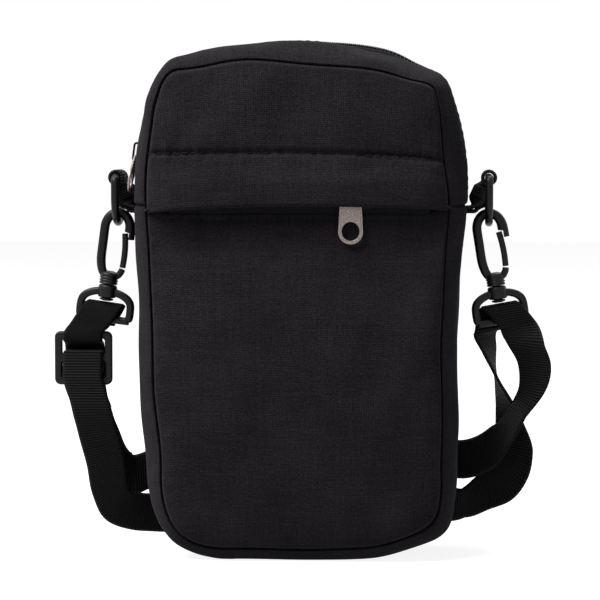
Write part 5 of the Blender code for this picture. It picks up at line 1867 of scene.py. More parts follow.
@dataclass(frozen=True)
class ZipSize:
    """Sizes of a zip and of the slider that runs on it."""

    root: float
    row: float
    row_height: float
    tape: float
    tape_reach: float
    plate: float
    slider_length: float
    flange: float

    @property
    def low(self) -> float:
        """Height of the tape's lower face below the fabric's outer face."""
        return -(FIT.fabric + FIT.gap + self.tape)

    @property
    def high(self) -> float:
        """Height of the teeth's tops."""
        return self.low + self.row_height

    @property
    def channel(self) -> float:
        """Half the width of the slider's way for the teeth."""
        return self.root + self.row + FIT.gap


MAIN_ZIP = ZipSize(
    root=1.5 * MM,
    row=1.4 * MM,
    row_height=1.6 * MM,
    tape=0.5 * MM,
    tape_reach=9.5 * MM,
    plate=0.8 * MM,
    slider_length=12 * MM,
    flange=0.8 * MM,
)
POCKET_ZIP = ZipSize(
    root=1.3 * MM,
    row=1.1 * MM,
    row_height=1.2 * MM,
    tape=0.4 * MM,
    tape_reach=9.0 * MM,
    plate=0.6 * MM,
    slider_length=9 * MM,
    flange=0.6 * MM,
)


@dataclass
class ZipRow:
    """One half of a zip: a tape with its row of teeth.

    Attributes:
        size: The zip's sizes.
        origins: Points along the zip's middle line.
        normals: Outward directions there.
        across: The direction of the upper or rear half.
        side: 1 for the half on that side, -1 for the other.
        open_length: How much of the zip, from its start, the slider runs over.
        settle: Moves points to where the settled cloth has them.
        sag: How far the tape sinks at a place.
    """

    size: ZipSize
    origins: Array
    normals: Array
    across: Vector
    side: int
    open_length: float
    settle: Callable
    sag: Callable
    pitch: float = 1.5 * MM
    slit: float = 0.55 * MM
    margin: float = 0.8 * MM
    overlap: float = 0.45 * MM

    def tape(self, name: str) -> Piece:
        """The woven tape, a little thicker along its cord under the teeth."""
        size = self.size
        inner = size.root + 0.35 * MM
        top = np.array([inner, inner + 0.4 * MM, inner + 1.0 * MM, inner + 1.5 * MM])
        top = np.concatenate([top, np.linspace(inner + 2 * MM, size.tape_reach, 9)])
        lift = np.full(len(top), size.low + size.tape)
        lift[0] -= 0.12 * MM
        outs = np.concatenate([top, top[::-1]])
        ups = np.concatenate([lift, np.full(len(top), size.low)])
        across = np.array(self.across) * self.side
        rings = self.origins[:, None, :] + outs[None, :, None] * across
        beside = smooth_step(outs, inner + 1.0 * MM, inner + 3.0 * MM)
        sunk = self.sag(self.origins[:, 0], self.origins[:, 2])[:, None] * beside
        rings = rings + (ups - sunk)[..., None] * self.normals[:, None, :]
        return swept(name, self.settle(rings))

    def places(self) -> tuple:
        """Places of the teeth that the slider passes over, and of those that stay closed."""
        gone = lengths_along(self.origins)
        shift = 0.25 if self.side > 0 else 0.75
        stops = np.arange(self.margin + self.pitch * shift, gone[-1] - self.margin, self.pitch)
        apart = []
        meshed = []
        size = self.size
        half = (size.root + size.row - self.slit) / 2
        middle_up = (size.low + size.high) / 2 + 0.1 * MM
        for stop in stops:
            is_open = stop < self.open_length
            sources = ((self.origins, 0.0), (self.origins, 0.2 * MM), (self.normals, 0.0))
            origin, ahead, normal = (
                np.array([np.interp(stop + step, gone, source[:, k]) for k in range(3)])
                for source, step in sources
            )
            across = np.array(self.across) * self.side
            reach = self.slit + half if is_open else half - self.overlap
            point = Vector(self.settle(origin + across * reach + normal * middle_up))
            nearby = Vector(self.settle(ahead + across * reach + normal * middle_up))
            up = (nearby - point).cross(Vector(across)) * self.side
            if up.dot(Vector(normal)) < 0:
                up = -up
            (apart if is_open else meshed).append(frame_at(point, Vector(across), up))
        return apart, meshed

    def tooth(self, length: float) -> Piece:
        """One coil tooth along X: a fat tip that thins to its root."""
        size = self.size
        half = length / 2
        x = np.array([-half, -half + 0.5 * MM, 0.1 * half, half])
        height = (size.row_height - 0.3 * MM) / 2
        rings = tube_rings(
            np.stack([x, [0.0, 0.0, -0.02 * MM, -0.1 * MM]], 1),
            np.array([0.62, 1.0, 0.94, 0.82]) * height,
            np.array([0.5, 0.86, 0.76, 0.7]) * 0.5 * MM,
            2.6,
            sides=10,
        )
        return swept("tooth", rings)

    def teeth(self, name: str, material: Material) -> Piece:
        """The whole row of teeth as one piece."""
        apart, meshed = self.places()
        length = self.size.root + self.size.row - self.slit
        return Repeats(name, self.tooth(length), apart + meshed, 9, 0.02).build(material)


@dataclass
class Slider:
    """A zip's slider and its pull, in a frame whose X is its travel and Z its normal.

    Attributes:
        name: Body's name, and start of the pieces' names.
        pull_name: The pull's body.
        size: The zip's sizes.
        frame: Where the slider is.
        pull_frame: Where the pull's eye is, with the pull along its -Y.
        maker: Dresses the pieces.
    """

    name: str
    pull_name: str
    size: ZipSize
    frame: Matrix
    pull_frame: Matrix
    maker: Maker
    neck: float = 0.5 * MM
    neck_length: float = 2.6 * MM
    bail_radius: float = 0.4 * MM
    bail_half_length: float = 3.2 * MM
    pull_length: float = 15.3 * MM
    pull_top_half_width: float = 3.95 * MM
    pull_end_radius: float = 4.4 * MM
    pull_shoulder: float = 2.3 * MM
    hole_half_width: float = 3.1 * MM
    hole_half_height: float = 3.3 * MM
    hole_rise: float = 0.2 * MM
    pull_thickness: float = 0.8 * MM
    pull_bevel: float = 0.24 * MM
    eye_radius: float = 2.1 * MM
    nose_cut: float = 1.2 * MM
    corner: float = 0.9 * MM
    bevel: float = 0.22 * MM
    lower_slim: float = 0.15 * MM
    overlap: float = 0.2 * MM
    neck_start: float = 0.3 * MM
    bail_corner: float = 1.0 * MM

    @property
    def top(self) -> float:
        """Height of the slider's upper face."""
        return self.size.high + FIT.gap + self.size.plate

    def outline(self, slim: float) -> list:
        """The slider's shape from above, narrowed by a little."""
        half_width = self.size.channel + self.size.flange - slim
        half = self.size.slider_length / 2 - slim
        nose = half_width * 0.8
        right = [(half, 0), (half, nose * 0.7), (half - self.nose_cut, nose)]
        right += [(half * 0.3, half_width * 0.95), (-half * 0.1, half_width)]
        right += [(-half * 0.6, half_width), (-half * 0.9, half_width * 0.72)]
        right += [(-half, half_width * 0.4), (-half, 0)]
        left = [(x, -y) for x, y in reversed(right[1:-1])]
        return rounded(right + left, self.corner, 3)

    def flange_loop(self, side: int) -> list:
        """The side wall that keeps the teeth in."""
        half = self.size.slider_length / 2
        near = self.size.channel
        far = near + self.size.flange
        loop = [(-half * 0.55, near), (half * 0.5, near), (half * 0.3, far * 0.97)]
        loop += [(-half * 0.1, far), (-half * 0.55, far)]
        return [(x, side * y) for x, y in loop]

    def body(self) -> Piece:
        """Two plates joined by a neck, side walls, and the bail on top."""
        size = self.size
        high = size.high + FIT.gap
        low = size.low - FIT.gap
        bevel = self.bevel
        pieces = [plate("upper", [self.outline(0.0)], high, self.top, bevel)]
        under = self.outline(self.lower_slim)
        pieces.append(plate("lower", [under], low - size.plate, low, bevel))
        half = size.slider_length / 2
        slim = self.neck / 2
        neck = [(-half + self.neck_start, -slim), (-half + self.neck_start, slim)]
        neck += [(-half + self.neck_length, slim), (-half + self.neck_length, -slim)]
        crest = high + self.overlap
        pieces.append(plate("neck", [neck], low - self.overlap, crest, 0.05 * MM))
        wall = size.low + size.tape + FIT.gap
        for side in (-1, 1):
            pieces.append(plate("wall", [self.flange_loop(side)], wall, crest, 0.1 * MM))
        pieces.append(self.bail())
        return joined(f"{self.name}_body", pieces, self.frame)

    def bail(self) -> Piece:
        """The wire bridge that holds the pull."""
        span = self.bail_half_length
        peak = self.top + 2 * FIT.gap + self.pull_thickness + self.bail_radius
        foot = self.top - self.size.plate / 2
        corners = [(-span, foot), (-span, peak), (span, peak), (span, foot)]
        path = along_curve(rounded(corners, self.bail_corner, 6, False), 0.25 * MM)
        return bar("bail", path, self.bail_radius, 2.4, sides=14)

    def pull(self) -> Piece:
        """The flat tab with a round end and a finger hole."""
        end = -(self.pull_length - self.pull_end_radius)
        outline = arc(0, 0, self.eye_radius, 0, math.pi, 10)
        outline += [(-self.pull_top_half_width * 0.93, -self.pull_shoulder * 0.5)]
        outline += [(-self.pull_top_half_width, -self.pull_shoulder)]
        outline += arc(0, end, self.pull_end_radius, math.pi, math.tau, 28)
        outline += [(self.pull_top_half_width, -self.pull_shoulder)]
        outline += [(self.pull_top_half_width * 0.93, -self.pull_shoulder * 0.5)]
        eye = arc(0, 0, self.bail_radius + FIT.gap, 0, math.tau * 11 / 12, 11)
        middle = end + self.hole_rise
        hole = [
            (self.hole_half_width * math.cos(a), middle + self.hole_half_height * math.sin(a))
            for a in np.linspace(0, math.tau, 36, endpoint=False)
        ]
        low = self.top + FIT.gap
        high = low + self.pull_thickness
        tab = plate("tab", [outline, eye, hole], low, high, self.pull_bevel)
        return joined(f"{self.pull_name}_tab", [tab], self.pull_frame)

    def build(self) -> None:
        """Makes and dresses the slider and its pull."""
        metal = self.maker.finishes.metal
        enamel = self.maker.finishes.enamel
        self.maker.place(self.body(), enamel, self.name, Slot.METAL, [self.name])
        self.maker.place(self.pull(), metal, self.pull_name, Slot.METAL, [self.pull_name])


@dataclass
class Zips:
    """The main zip over the top and the pocket zip under the flap."""

    outline: Outline
    slump: Slump
    maker: Maker
    main_angle: float = math.radians(7.2)
    main_run_end: float = math.radians(14)
    pull_swing: float = math.radians(50)
    pocket_height: float = 128.8 * MM
    pocket_lift: float = 0.6 * MM
    pocket_depth: float = 21.2 * MM
    pocket_half_length: float = 46 * MM
    pocket_steps: int = 90
    pocket_slider_x: float = 21.4 * MM
    bail_half_length: float = 3.2 * MM

    def slider_frame(self, origin: Vector, travel: Vector, normal: Vector) -> Matrix:
        """A frame with X along the travel and Z along the normal."""
        turn = Matrix((travel, normal.cross(travel), normal)).transposed().to_4x4()
        return Matrix.Translation(origin) @ turn

    def sliders(self) -> None:
        """Both sliders with their pulls."""
        angle = math.pi - self.main_angle
        normal = Vector((math.cos(angle), 0, math.sin(angle)))
        centre = Vector((-self.outline.side_x, 0, self.outline.seam_height))
        travel = Vector((math.sin(angle), 0, -math.cos(angle)))
        crest = self.slider_frame(centre + normal * self.outline.side_radius, travel, normal)
        leg = Matrix.Translation((-self.bail_half_length, 0, 0))
        hang = crest @ leg @ Matrix.Rotation(-math.pi / 2 + self.pull_swing, 4, "Z")
        Slider("main_slider", "main_pull", MAIN_ZIP, crest, hang, self.maker).build()
        origin = Vector((self.pocket_slider_x, -self.pocket_depth, self.pocket_height))
        front = self.slider_frame(origin, Vector((-1, 0, 0)), Vector((0, -1, 0)))
        leg = Matrix.Translation((self.bail_half_length, 0, 0))
        hang = front @ leg @ Matrix.Rotation(math.pi, 4, "Z")
        Slider("front_slider", "front_pull", POCKET_ZIP, front, hang, self.maker).build()

    def build(self) -> None:
        """Makes and dresses both zips."""
        finishes = self.maker.finishes
        way = self.outline.upper_way(0.8 * MM, 0.6 * MM / self.outline.side_radius)
        crest = self.outline.points(way, 0.0, 0.0)[:, 0]
        normals = outward(way)
        run = self.outline.side_radius * self.main_run_end + MAIN_ZIP.slider_length / 2
        height = self.pocket_height + self.pocket_lift
        line = np.tile([0.0, -self.pocket_depth, height], (self.pocket_steps, 1))
        line[:, 0] = np.linspace(-self.pocket_half_length, self.pocket_half_length, len(line))
        ahead = np.tile([0.0, -1.0, 0.0], (len(line), 1))
        back = Vector((0, 1, 0))
        rows = (
            ("main_zip_front", -1, MAIN_ZIP, crest, normals, back, run, self.slump.settle),
            ("main_zip_rear", 1, MAIN_ZIP, crest, normals, back, run, self.slump.settle),
            ("front_zip_upper", 1, POCKET_ZIP, line, ahead, Vector((0, 0, 1)), 1.0, np.array),
            ("front_zip_lower", -1, POCKET_ZIP, line, ahead, Vector((0, 0, 1)), 1.0, np.array),
        )
        for name, side, size, origins, away, across, open_length, settle in rows:
            row = ZipRow(size, origins, away, across, side, open_length, settle, self.slump.sag)
            node = f"{name}_half"
            self.maker.place(row.tape(f"{name}_tape"), finishes.tape, "bag", Slot.TAPE, [node])
            teeth = row.teeth(f"{name}_teeth", finishes.tooth)
            self.maker.place(teeth, finishes.tooth, "bag", Slot.TAPE)
        self.sliders()


# Rings, tabs and hooks


@dataclass
class RingTab:
    """Webbing doubled round the D-ring's bar and sewn into the side seam, with its D-ring."""

    side: Side
    outline: Outline
    maker: Maker
    thickness: float = 2.6 * MM
    twist: float = math.radians(24)
    knee_out: float = 1.9 * MM
    bar_out: float = 7.0 * MM
    bar_up: float = 9.8 * MM
    bend_radius: float = 1.0 * MM
    step: float = 0.35 * MM
    twist_starts: tuple = (0.0, 0.3)
    twist_ends: tuple = (0.6, 0.88)
    stitch_rows: tuple = (0.18, 0.36)
    stitch_pitch: float = 2.4 * MM
    stitch_length: float = 1.8 * MM
    stitch_radius: float = 0.22 * MM
    stitch_proud: float = 0.05 * MM
    d_radius: float = 9.4 * MM
    d_corner: float = 2.0 * MM
    d_side: float = 6.8 * MM

    def bar_place(self) -> Vector:
        """Middle of the ring's straight bar."""
        x = self.outline.half_width + self.bar_out
        return Vector((self.side.value * x, 0, self.outline.seam_height + self.bar_up))

    def knee(self) -> Vector:
        """Where the tab leaves the seam and turns up to the ring."""
        x = self.side.value * (self.outline.half_width + self.knee_out)
        return Vector((x, 0, self.outline.seam_height - FIT.gap - self.thickness / 2))

    def tab(self) -> Piece:
        """The doubled webbing as one strip round the bar."""
        half = self.thickness / 2
        layer = half - FIT.webbing / 2
        seam_z = self.outline.seam_height - FIT.gap - half
        tail = Vector((self.outline.half_width - FIT.fabric, seam_z))
        knee = Vector((self.outline.half_width + self.knee_out, seam_z))
        place = self.bar_place()
        head = Vector((abs(place.x), place.z))
        along = (head - knee).normalized()
        radius = FIT.wire + FIT.gap + FIT.webbing / 2
        bend = math.tan((math.pi / 2 - math.atan2(along.x, along.y)) / 2)
        side = Vector((along.y, -along.x))
        back = math.atan2(-along.y, -along.x)
        lean = math.asin(min(layer / radius, 1)) + 0.25
        neck = along * (radius * 1.5)
        path = [tail - Vector((0, layer)), knee + Vector((layer * bend, -layer))]
        path += [head - neck + side * layer]
        path += [Vector(p) for p in arc(*head, radius, back + lean, back + math.tau - lean, 12)]
        path += [head - neck - side * layer]
        path += [knee + Vector((-layer * bend, layer)), tail + Vector((0, layer))]
        corners = rounded([tuple(p) for p in path], self.bend_radius, 4, False)
        path = along_curve(corners, self.step)
        points = np.stack([self.side.value * path[:, 0], 0 * path[:, 0], path[:, 1]], 1)
        widths = np.tile([0.0, 1.0, 0.0], (len(points), 1))
        name = f"{self.side.word}_tab_webbing"
        return self.turned_out(webbing_strip(name, points, widths, FIT.webbing_width, FIT.webbing))

    def turned_out(self, piece: Piece) -> Piece:
        """The piece twisted about the tab's middle line between the seam and the bar."""
        knee = self.knee()
        way = self.bar_place() - knee
        for vertex in piece.data.vertices:
            share = (vertex.co - knee).dot(way) / way.length_squared
            turning_back = 1 - smooth_step(share, *self.twist_ends)
            turned = float(smooth_step(share, *self.twist_starts) * turning_back)
            turn = Matrix.Rotation(self.twist * self.side.value * turned, 3, way)
            vertex.co = knee + turn @ (vertex.co - knee)
        return piece

    def stitches(self) -> Piece:
        """Two rows of stitches across the tab below the ring."""
        place = self.bar_place()
        knee = self.knee()
        along = (place - knee).normalized()
        out = Vector((self.side.value * along.z, 0, -self.side.value * along.x))
        proud = self.thickness / 2 + self.stitch_proud
        places = []
        for face in (-1, 1):
            for share in self.stitch_rows:
                middle = knee + (place - knee) * share + out * face * proud
                line = np.array([middle + Vector((0, y, 0)) for y in np.linspace(-6, 6, 30) * MM])
                normals = np.tile(np.array(out * face), (30, 1))
                places += stitches_along(line, normals, self.stitch_pitch)
        item = stitch_item(self.stitch_length, self.stitch_radius)
        name = f"{self.side.word}_tab_stitches"
        return self.turned_out(Repeats(name, item, places, 7).build(self.maker.finishes.thread))

    def ring(self) -> Piece:
        """The wire D."""
        corner = self.d_corner
        points = arc(self.d_radius - corner, -corner, corner, math.pi / 2, 0, 6)
        points += arc(0, -self.d_side, self.d_radius, 0, -math.pi, 40)
        points += arc(-(self.d_radius - corner), -corner, corner, math.pi, math.pi / 2, 6)
        path = along_curve(points, 0.6 * MM, closed=True)
        wire = bar("ring", path, FIT.wire, closed=True)
        place = Matrix.Translation(self.bar_place()) @ Matrix.Rotation(math.pi / 2, 4, "Z")
        return joined(f"{self.side.word}_d_wire", [wire], place)

    def build(self) -> None:
        """Makes and dresses the tab and its ring."""
        word = self.side.word
        finishes = self.maker.finishes
        node = f"{word}_ring_tab"
        self.maker.place(self.tab(), finishes.tab_webbing, "bag", Slot.WEBBING, [node])
        self.maker.place(self.stitches(), finishes.thread, "bag", Slot.WEBBING)
        ring = f"{word}_d_ring"
        self.maker.place(self.ring(), finishes.plastic, ring, Slot.PLASTIC, [ring])


@dataclass
class SnapHook:
    """A snap hook with its gate and the swivel ring on its stem.

    Attributes:
        ring_tab: The D-ring that it hangs on.
        tilt: Lean of its stem.
        swivel_turn: Turn of the swivel ring about the stem.
        maker: Dresses the pieces.
    """

    ring_tab: RingTab
    tilt: float
    swivel_turn: float
    maker: Maker
    length: float = 28 * MM
    arm: float = 1.75 * MM
    play: float = 0.07 * MM
    nose: float = 2.0 * MM
    foot: float = 1.25 * MM
    half_width: float = 4.6 * MM
    offset: float = 0.8 * MM
    shoulder: float = 20.5 * MM
    nose_end: float = 16.9 * MM
    nose_seat: float = 19.3 * MM
    nose_lean: float = 0.1 * MM
    nose_flat: float = 2 * MM
    step: float = 0.4 * MM
    collar_radius: float = 3.4 * MM
    collar_height: float = 4.2 * MM
    groove: float = 0.28 * MM
    stem_radius: float = 1.5 * MM
    stem_head_radius: float = 2.5 * MM
    stem_head: float = 0.9 * MM
    gate_radius: float = 1.1 * MM
    gate_root: tuple = (4.4 * MM, 6.5 * MM)
    gate_play: float = 0.2 * MM
    gate_bow: float = 0.4 * MM
    boss_radius: float = 3.4 * MM
    boss_height: float = 4.6 * MM
    bar_drop: float = 12.6 * MM
    swivel_half_width: float = 9.4 * MM
    swivel_corner: float = 1.6 * MM

    @property
    def frame(self) -> Matrix:
        """The stem's frame, with Z up the stem and the collar's lower face at its origin."""
        tab = self.ring_tab
        turn = Matrix.Rotation(-self.tilt, 4, "Y")
        wire = tab.bar_place() - Vector((0, 0, tab.d_side + tab.d_radius))
        hang = Vector((self.offset, 0, self.length - 2 * self.arm - FIT.gap - FIT.wire))
        return Matrix.Translation(wire - turn.to_3x3() @ hang) @ turn

    @property
    def ring_frame(self) -> Matrix:
        """The stem's frame turned so that its X runs along the swivel ring's bar."""
        return self.frame @ Matrix.Rotation(self.swivel_turn, 4, "Z")

    def arm_path(self) -> tuple:
        """Centre line and radii from the gate's foot, up the spine, to the nose."""
        left = self.offset - self.half_width
        right = self.offset + self.half_width
        rise = self.length - self.arm - self.shoulder
        foot = [(0.95, 0.214), (0.85, 0.164), (0.61, 0.118), (0.2, 0.093), (-0.26, 0.104)]
        foot += [(-0.59, 0.164), (-0.76, 0.257)]
        points = [(x * self.half_width, z * self.length) for x, z in foot]
        points += [(left, self.shoulder * 0.49), (left, self.shoulder * 0.73)]
        for i in range(11):
            angle = math.pi * (1 - i / 10)
            x = self.offset + self.half_width * math.cos(angle)
            points.append((x, self.shoulder + rise * math.sin(angle)))
        points.append((right + self.nose_lean, self.nose_end))
        count = len(points)
        index = np.arange(count)
        near_nose = smooth_step(index, count - 5, count - 1)
        near_foot = 1 - smooth_step(index, 0, len(foot))
        radii = self.arm + (self.nose - self.arm) * near_nose + (self.foot - self.arm) * near_foot
        fine = along_curve(np.concatenate([points, radii[:, None]], 1), self.step)
        return fine[:, :2], fine[:, 2] - self.play

    def stem_profile(self) -> list:
        """The collar's crown, its three grooves, the stem and the head below the swivel ring."""
        radius = self.collar_radius
        top = self.collar_height
        profile = [(0, top + 0.7 * MM), (1.4 * MM, top + 0.6 * MM)]
        for inset, rise in ((1.0, 0.25), (0.4, -0.05), (0.0, -0.5)):
            profile.append((radius - inset * MM, top + rise * MM))
        for low in (2.75, 1.75, 0.75):
            profile += [(radius, (low + 0.45) * MM), (radius - self.groove, (low + 0.28) * MM)]
            profile += [(radius - self.groove, (low - 0.02) * MM), (radius, (low - 0.2) * MM)]
        profile += [(radius, 0.3 * MM), (radius - 0.3 * MM, 0), (self.stem_radius, 0)]
        head = -(FIT.gap + self.boss_height) - FIT.gap
        wide = self.stem_head_radius
        profile += [(self.stem_radius, head), (wide - 0.2 * MM, head), (wide, head - 0.2 * MM)]
        profile += [(wide, head - self.stem_head * 0.6), (wide * 0.6, head - self.stem_head)]
        return profile + [(0, head - self.stem_head)]

    def hook(self) -> Piece:
        """The hook with its ribbed collar and stem."""
        path, radii = self.arm_path()
        arm = bar("arm", path, radii, 2.3, ends=0.15)
        wall = self.offset + self.half_width
        low = self.nose_end - self.nose_flat
        for vertex in arm.data.vertices:
            x, _, z = vertex.co
            if low < z < self.nose_seat and self.half_width * 0.5 < x < wall:
                vertex.co.x = wall
        stem = turned("stem", self.stem_profile(), 36)
        return joined(f"{self.ring_tab.side.word}_hook_body", [arm, stem], self.frame)

    def gate(self) -> Piece:
        """The springy arm that closes the hook."""
        root_x, root_z = self.gate_root
        tip_x = self.offset + self.half_width - FIT.gap - self.gate_radius - self.gate_play
        share = np.linspace(0, 1, 24)
        x = root_x + (tip_x - root_x) * share + self.gate_bow * np.sin(math.pi * share)
        z = root_z + (self.nose_seat - FIT.gap - root_z) * share
        arm = bar("gate", np.stack([x, z], 1), self.gate_radius, 2.9, ends=0.1)
        return joined(f"{self.ring_tab.side.word}_gate_arm", [arm], self.frame)

    def swivel(self) -> Piece:
        """The barrel on the stem and the loop that holds the webbing."""
        top = -(FIT.gap + self.boss_height / 2)
        side_z = -self.bar_drop * 0.65
        half = self.swivel_half_width
        corner = self.swivel_corner
        right = []
        for i in range(7):
            angle = math.pi / 2 * (1 - i / 6)
            x = half * math.cos(angle)
            right.append((x, side_z + (top - side_z) * math.sin(angle) ** 0.8))
        right += arc(half - corner, corner - self.bar_drop, corner, 0, -math.pi / 2, 3)
        points = right + [(-x, z) for x, z in reversed(right)][:-1]
        loop = bar("loop", along_curve(points, 0.5 * MM, closed=True), FIT.wire, 2.6, closed=True)
        bore = self.stem_radius + FIT.gap
        low = -(FIT.gap + self.boss_height)
        outer = self.boss_radius
        profile = [(bore, low), (outer - 0.55 * MM, low), (outer - 0.15 * MM, low + 0.3 * MM)]
        profile += [(outer, low + 0.8 * MM), (outer, -FIT.gap - 0.8 * MM)]
        profile += [(outer - 0.15 * MM, -FIT.gap - 0.3 * MM), (outer - 0.55 * MM, -FIT.gap)]
        profile += [(bore, -FIT.gap)]
        for vertex in loop.data.vertices:
            reach = math.hypot(vertex.co.x, vertex.co.y)
            if reach < bore and vertex.co.z > low:
                vertex.co.xy *= bore / max(reach, 1e-6)
        boss = tube_about_z("boss", profile, 36)
        return joined(f"{self.ring_tab.side.word}_swivel_body", [loop, boss], self.ring_frame)

    def build(self) -> None:
        """Makes and dresses the hook, its gate and its swivel ring."""
        word = self.ring_tab.side.word
        plastic = self.maker.finishes.plastic
        place = self.maker.place
        place(self.hook(), plastic, f"{word}_hook", Slot.PLASTIC, [f"{word}_hook"])
        place(self.gate(), plastic, f"{word}_gate", Slot.PLASTIC, [f"{word}_gate"])
        place(self.swivel(), plastic, "strap", Slot.PLASTIC, [f"{word}_swivel_ring"])


# The strap

# Its free runs: shares of the body's half width, the bands' depth and the ring bar's height,
# and the direction across the webbing
DOWN_LEFT = (
    (1.306, 0.292, 0.608, 1, 0, 0),
    (1.267, 0.458, 0.499, 0.95, 0.1, 0.25),
    (1.174, 0.667, 0.353, 0.65, 0.4, 0.55),
    (1.064, 0.833, 0.304, -0.1, 0.1, 1),
    (0.969, 0.937, 0.323, 0, 0, 1),
)
UP_RIGHT = (
    (0.982, 0.917, 0.378, -0.05, 0, 1),
    (1.115, 0.604, 0.425, -0.14, 0.1, 1),
    (1.216, 0.333, 0.503, -0.25, 0.75, 0.55),
    (1.304, 0.125, 0.616, -0.3, 0.9, 0.3),
    (1.386, 0, 0.722, -0.65, 0.7, 0),
    (1.39, -0.104, 0.818, -0.8, 0.55, 0.05),
    (1.335, -0.167, 0.907, -0.93, 0.2, 0.1),
)
DOWN_RIGHT = (
    (1.104, 0.167, 0.946, -0.6, -0.75, -0.1),
    (1.123, 0.333, 0.866, -0.35, -0.9, 0),
    (1.149, 0.458, 0.795, -0.1, -1, 0),
    (1.18, 0.542, 0.724, 0.1, -1, 0),
    (1.218, 0.625, 0.644, 0.4, -0.9, 0),
    (1.256, 0.687, 0.548, 0.7, -0.65, -0.1),
    (1.281, 0.687, 0.444, 0.95, -0.25, -0.15),
    (1.269, 0.688, 0.358, 0.85, -0.1, -0.5),
    (1.209, 0.75, 0.281, 0.5, 0, -0.86),
    (1.106, 0.833, 0.243, 0.2, 0.1, -0.97),
    (0.971, 0.937, 0.185, 0.1, 0.55, -0.83),
)
UP_LEFT = (
    (0.964, 1.062, 0.127, -0.1, 0, -1),
    (1.057, 0.917, 0.137, -0.2, 0, -0.97),
    (1.165, 0.708, 0.172, -0.6, 0, -0.8),
    (1.207, 0.458, 0.274, -0.88, 0, -0.47),
    (1.217, 0.208, 0.395, -0.94, 0, -0.33),
    (1.247, 0, 0.509, -0.98, 0, -0.12),
)


def webbing_strip(
    name: str, points: Array, widths: Array, width: float, thickness: float
) -> Piece:
    """A woven strip along a path.

    Args:
        name: Name of the piece.
        points: Its centre line.
        widths: The direction across it at each point.
        width: Its width.
        thickness: Its thickness.

    Returns:
        The new piece.
    """
    heading = np.gradient(points, axis=0)
    thick = np.cross(heading, widths)
    thick /= np.linalg.norm(thick, axis=1)[:, None]
    flat = np.linspace(-1, 1, 17)
    edge = 0.93
    bulge = np.sqrt(1 - (np.clip(np.abs(flat) - edge, 0, None) / (1 - edge)) ** 2)
    across = np.concatenate([flat, flat[::-1][1:-1]]) * width / 2
    lift = np.concatenate([bulge, -bulge[::-1][1:-1]]) * thickness / 2
    gone = lengths_along(points)
    rings = points[:, None, :] + across[None, :, None] * widths[:, None, :]
    rings = rings + lift[None, :, None] * thick[:, None, :]
    return swept(name, rings, uv=paired(across, gone))


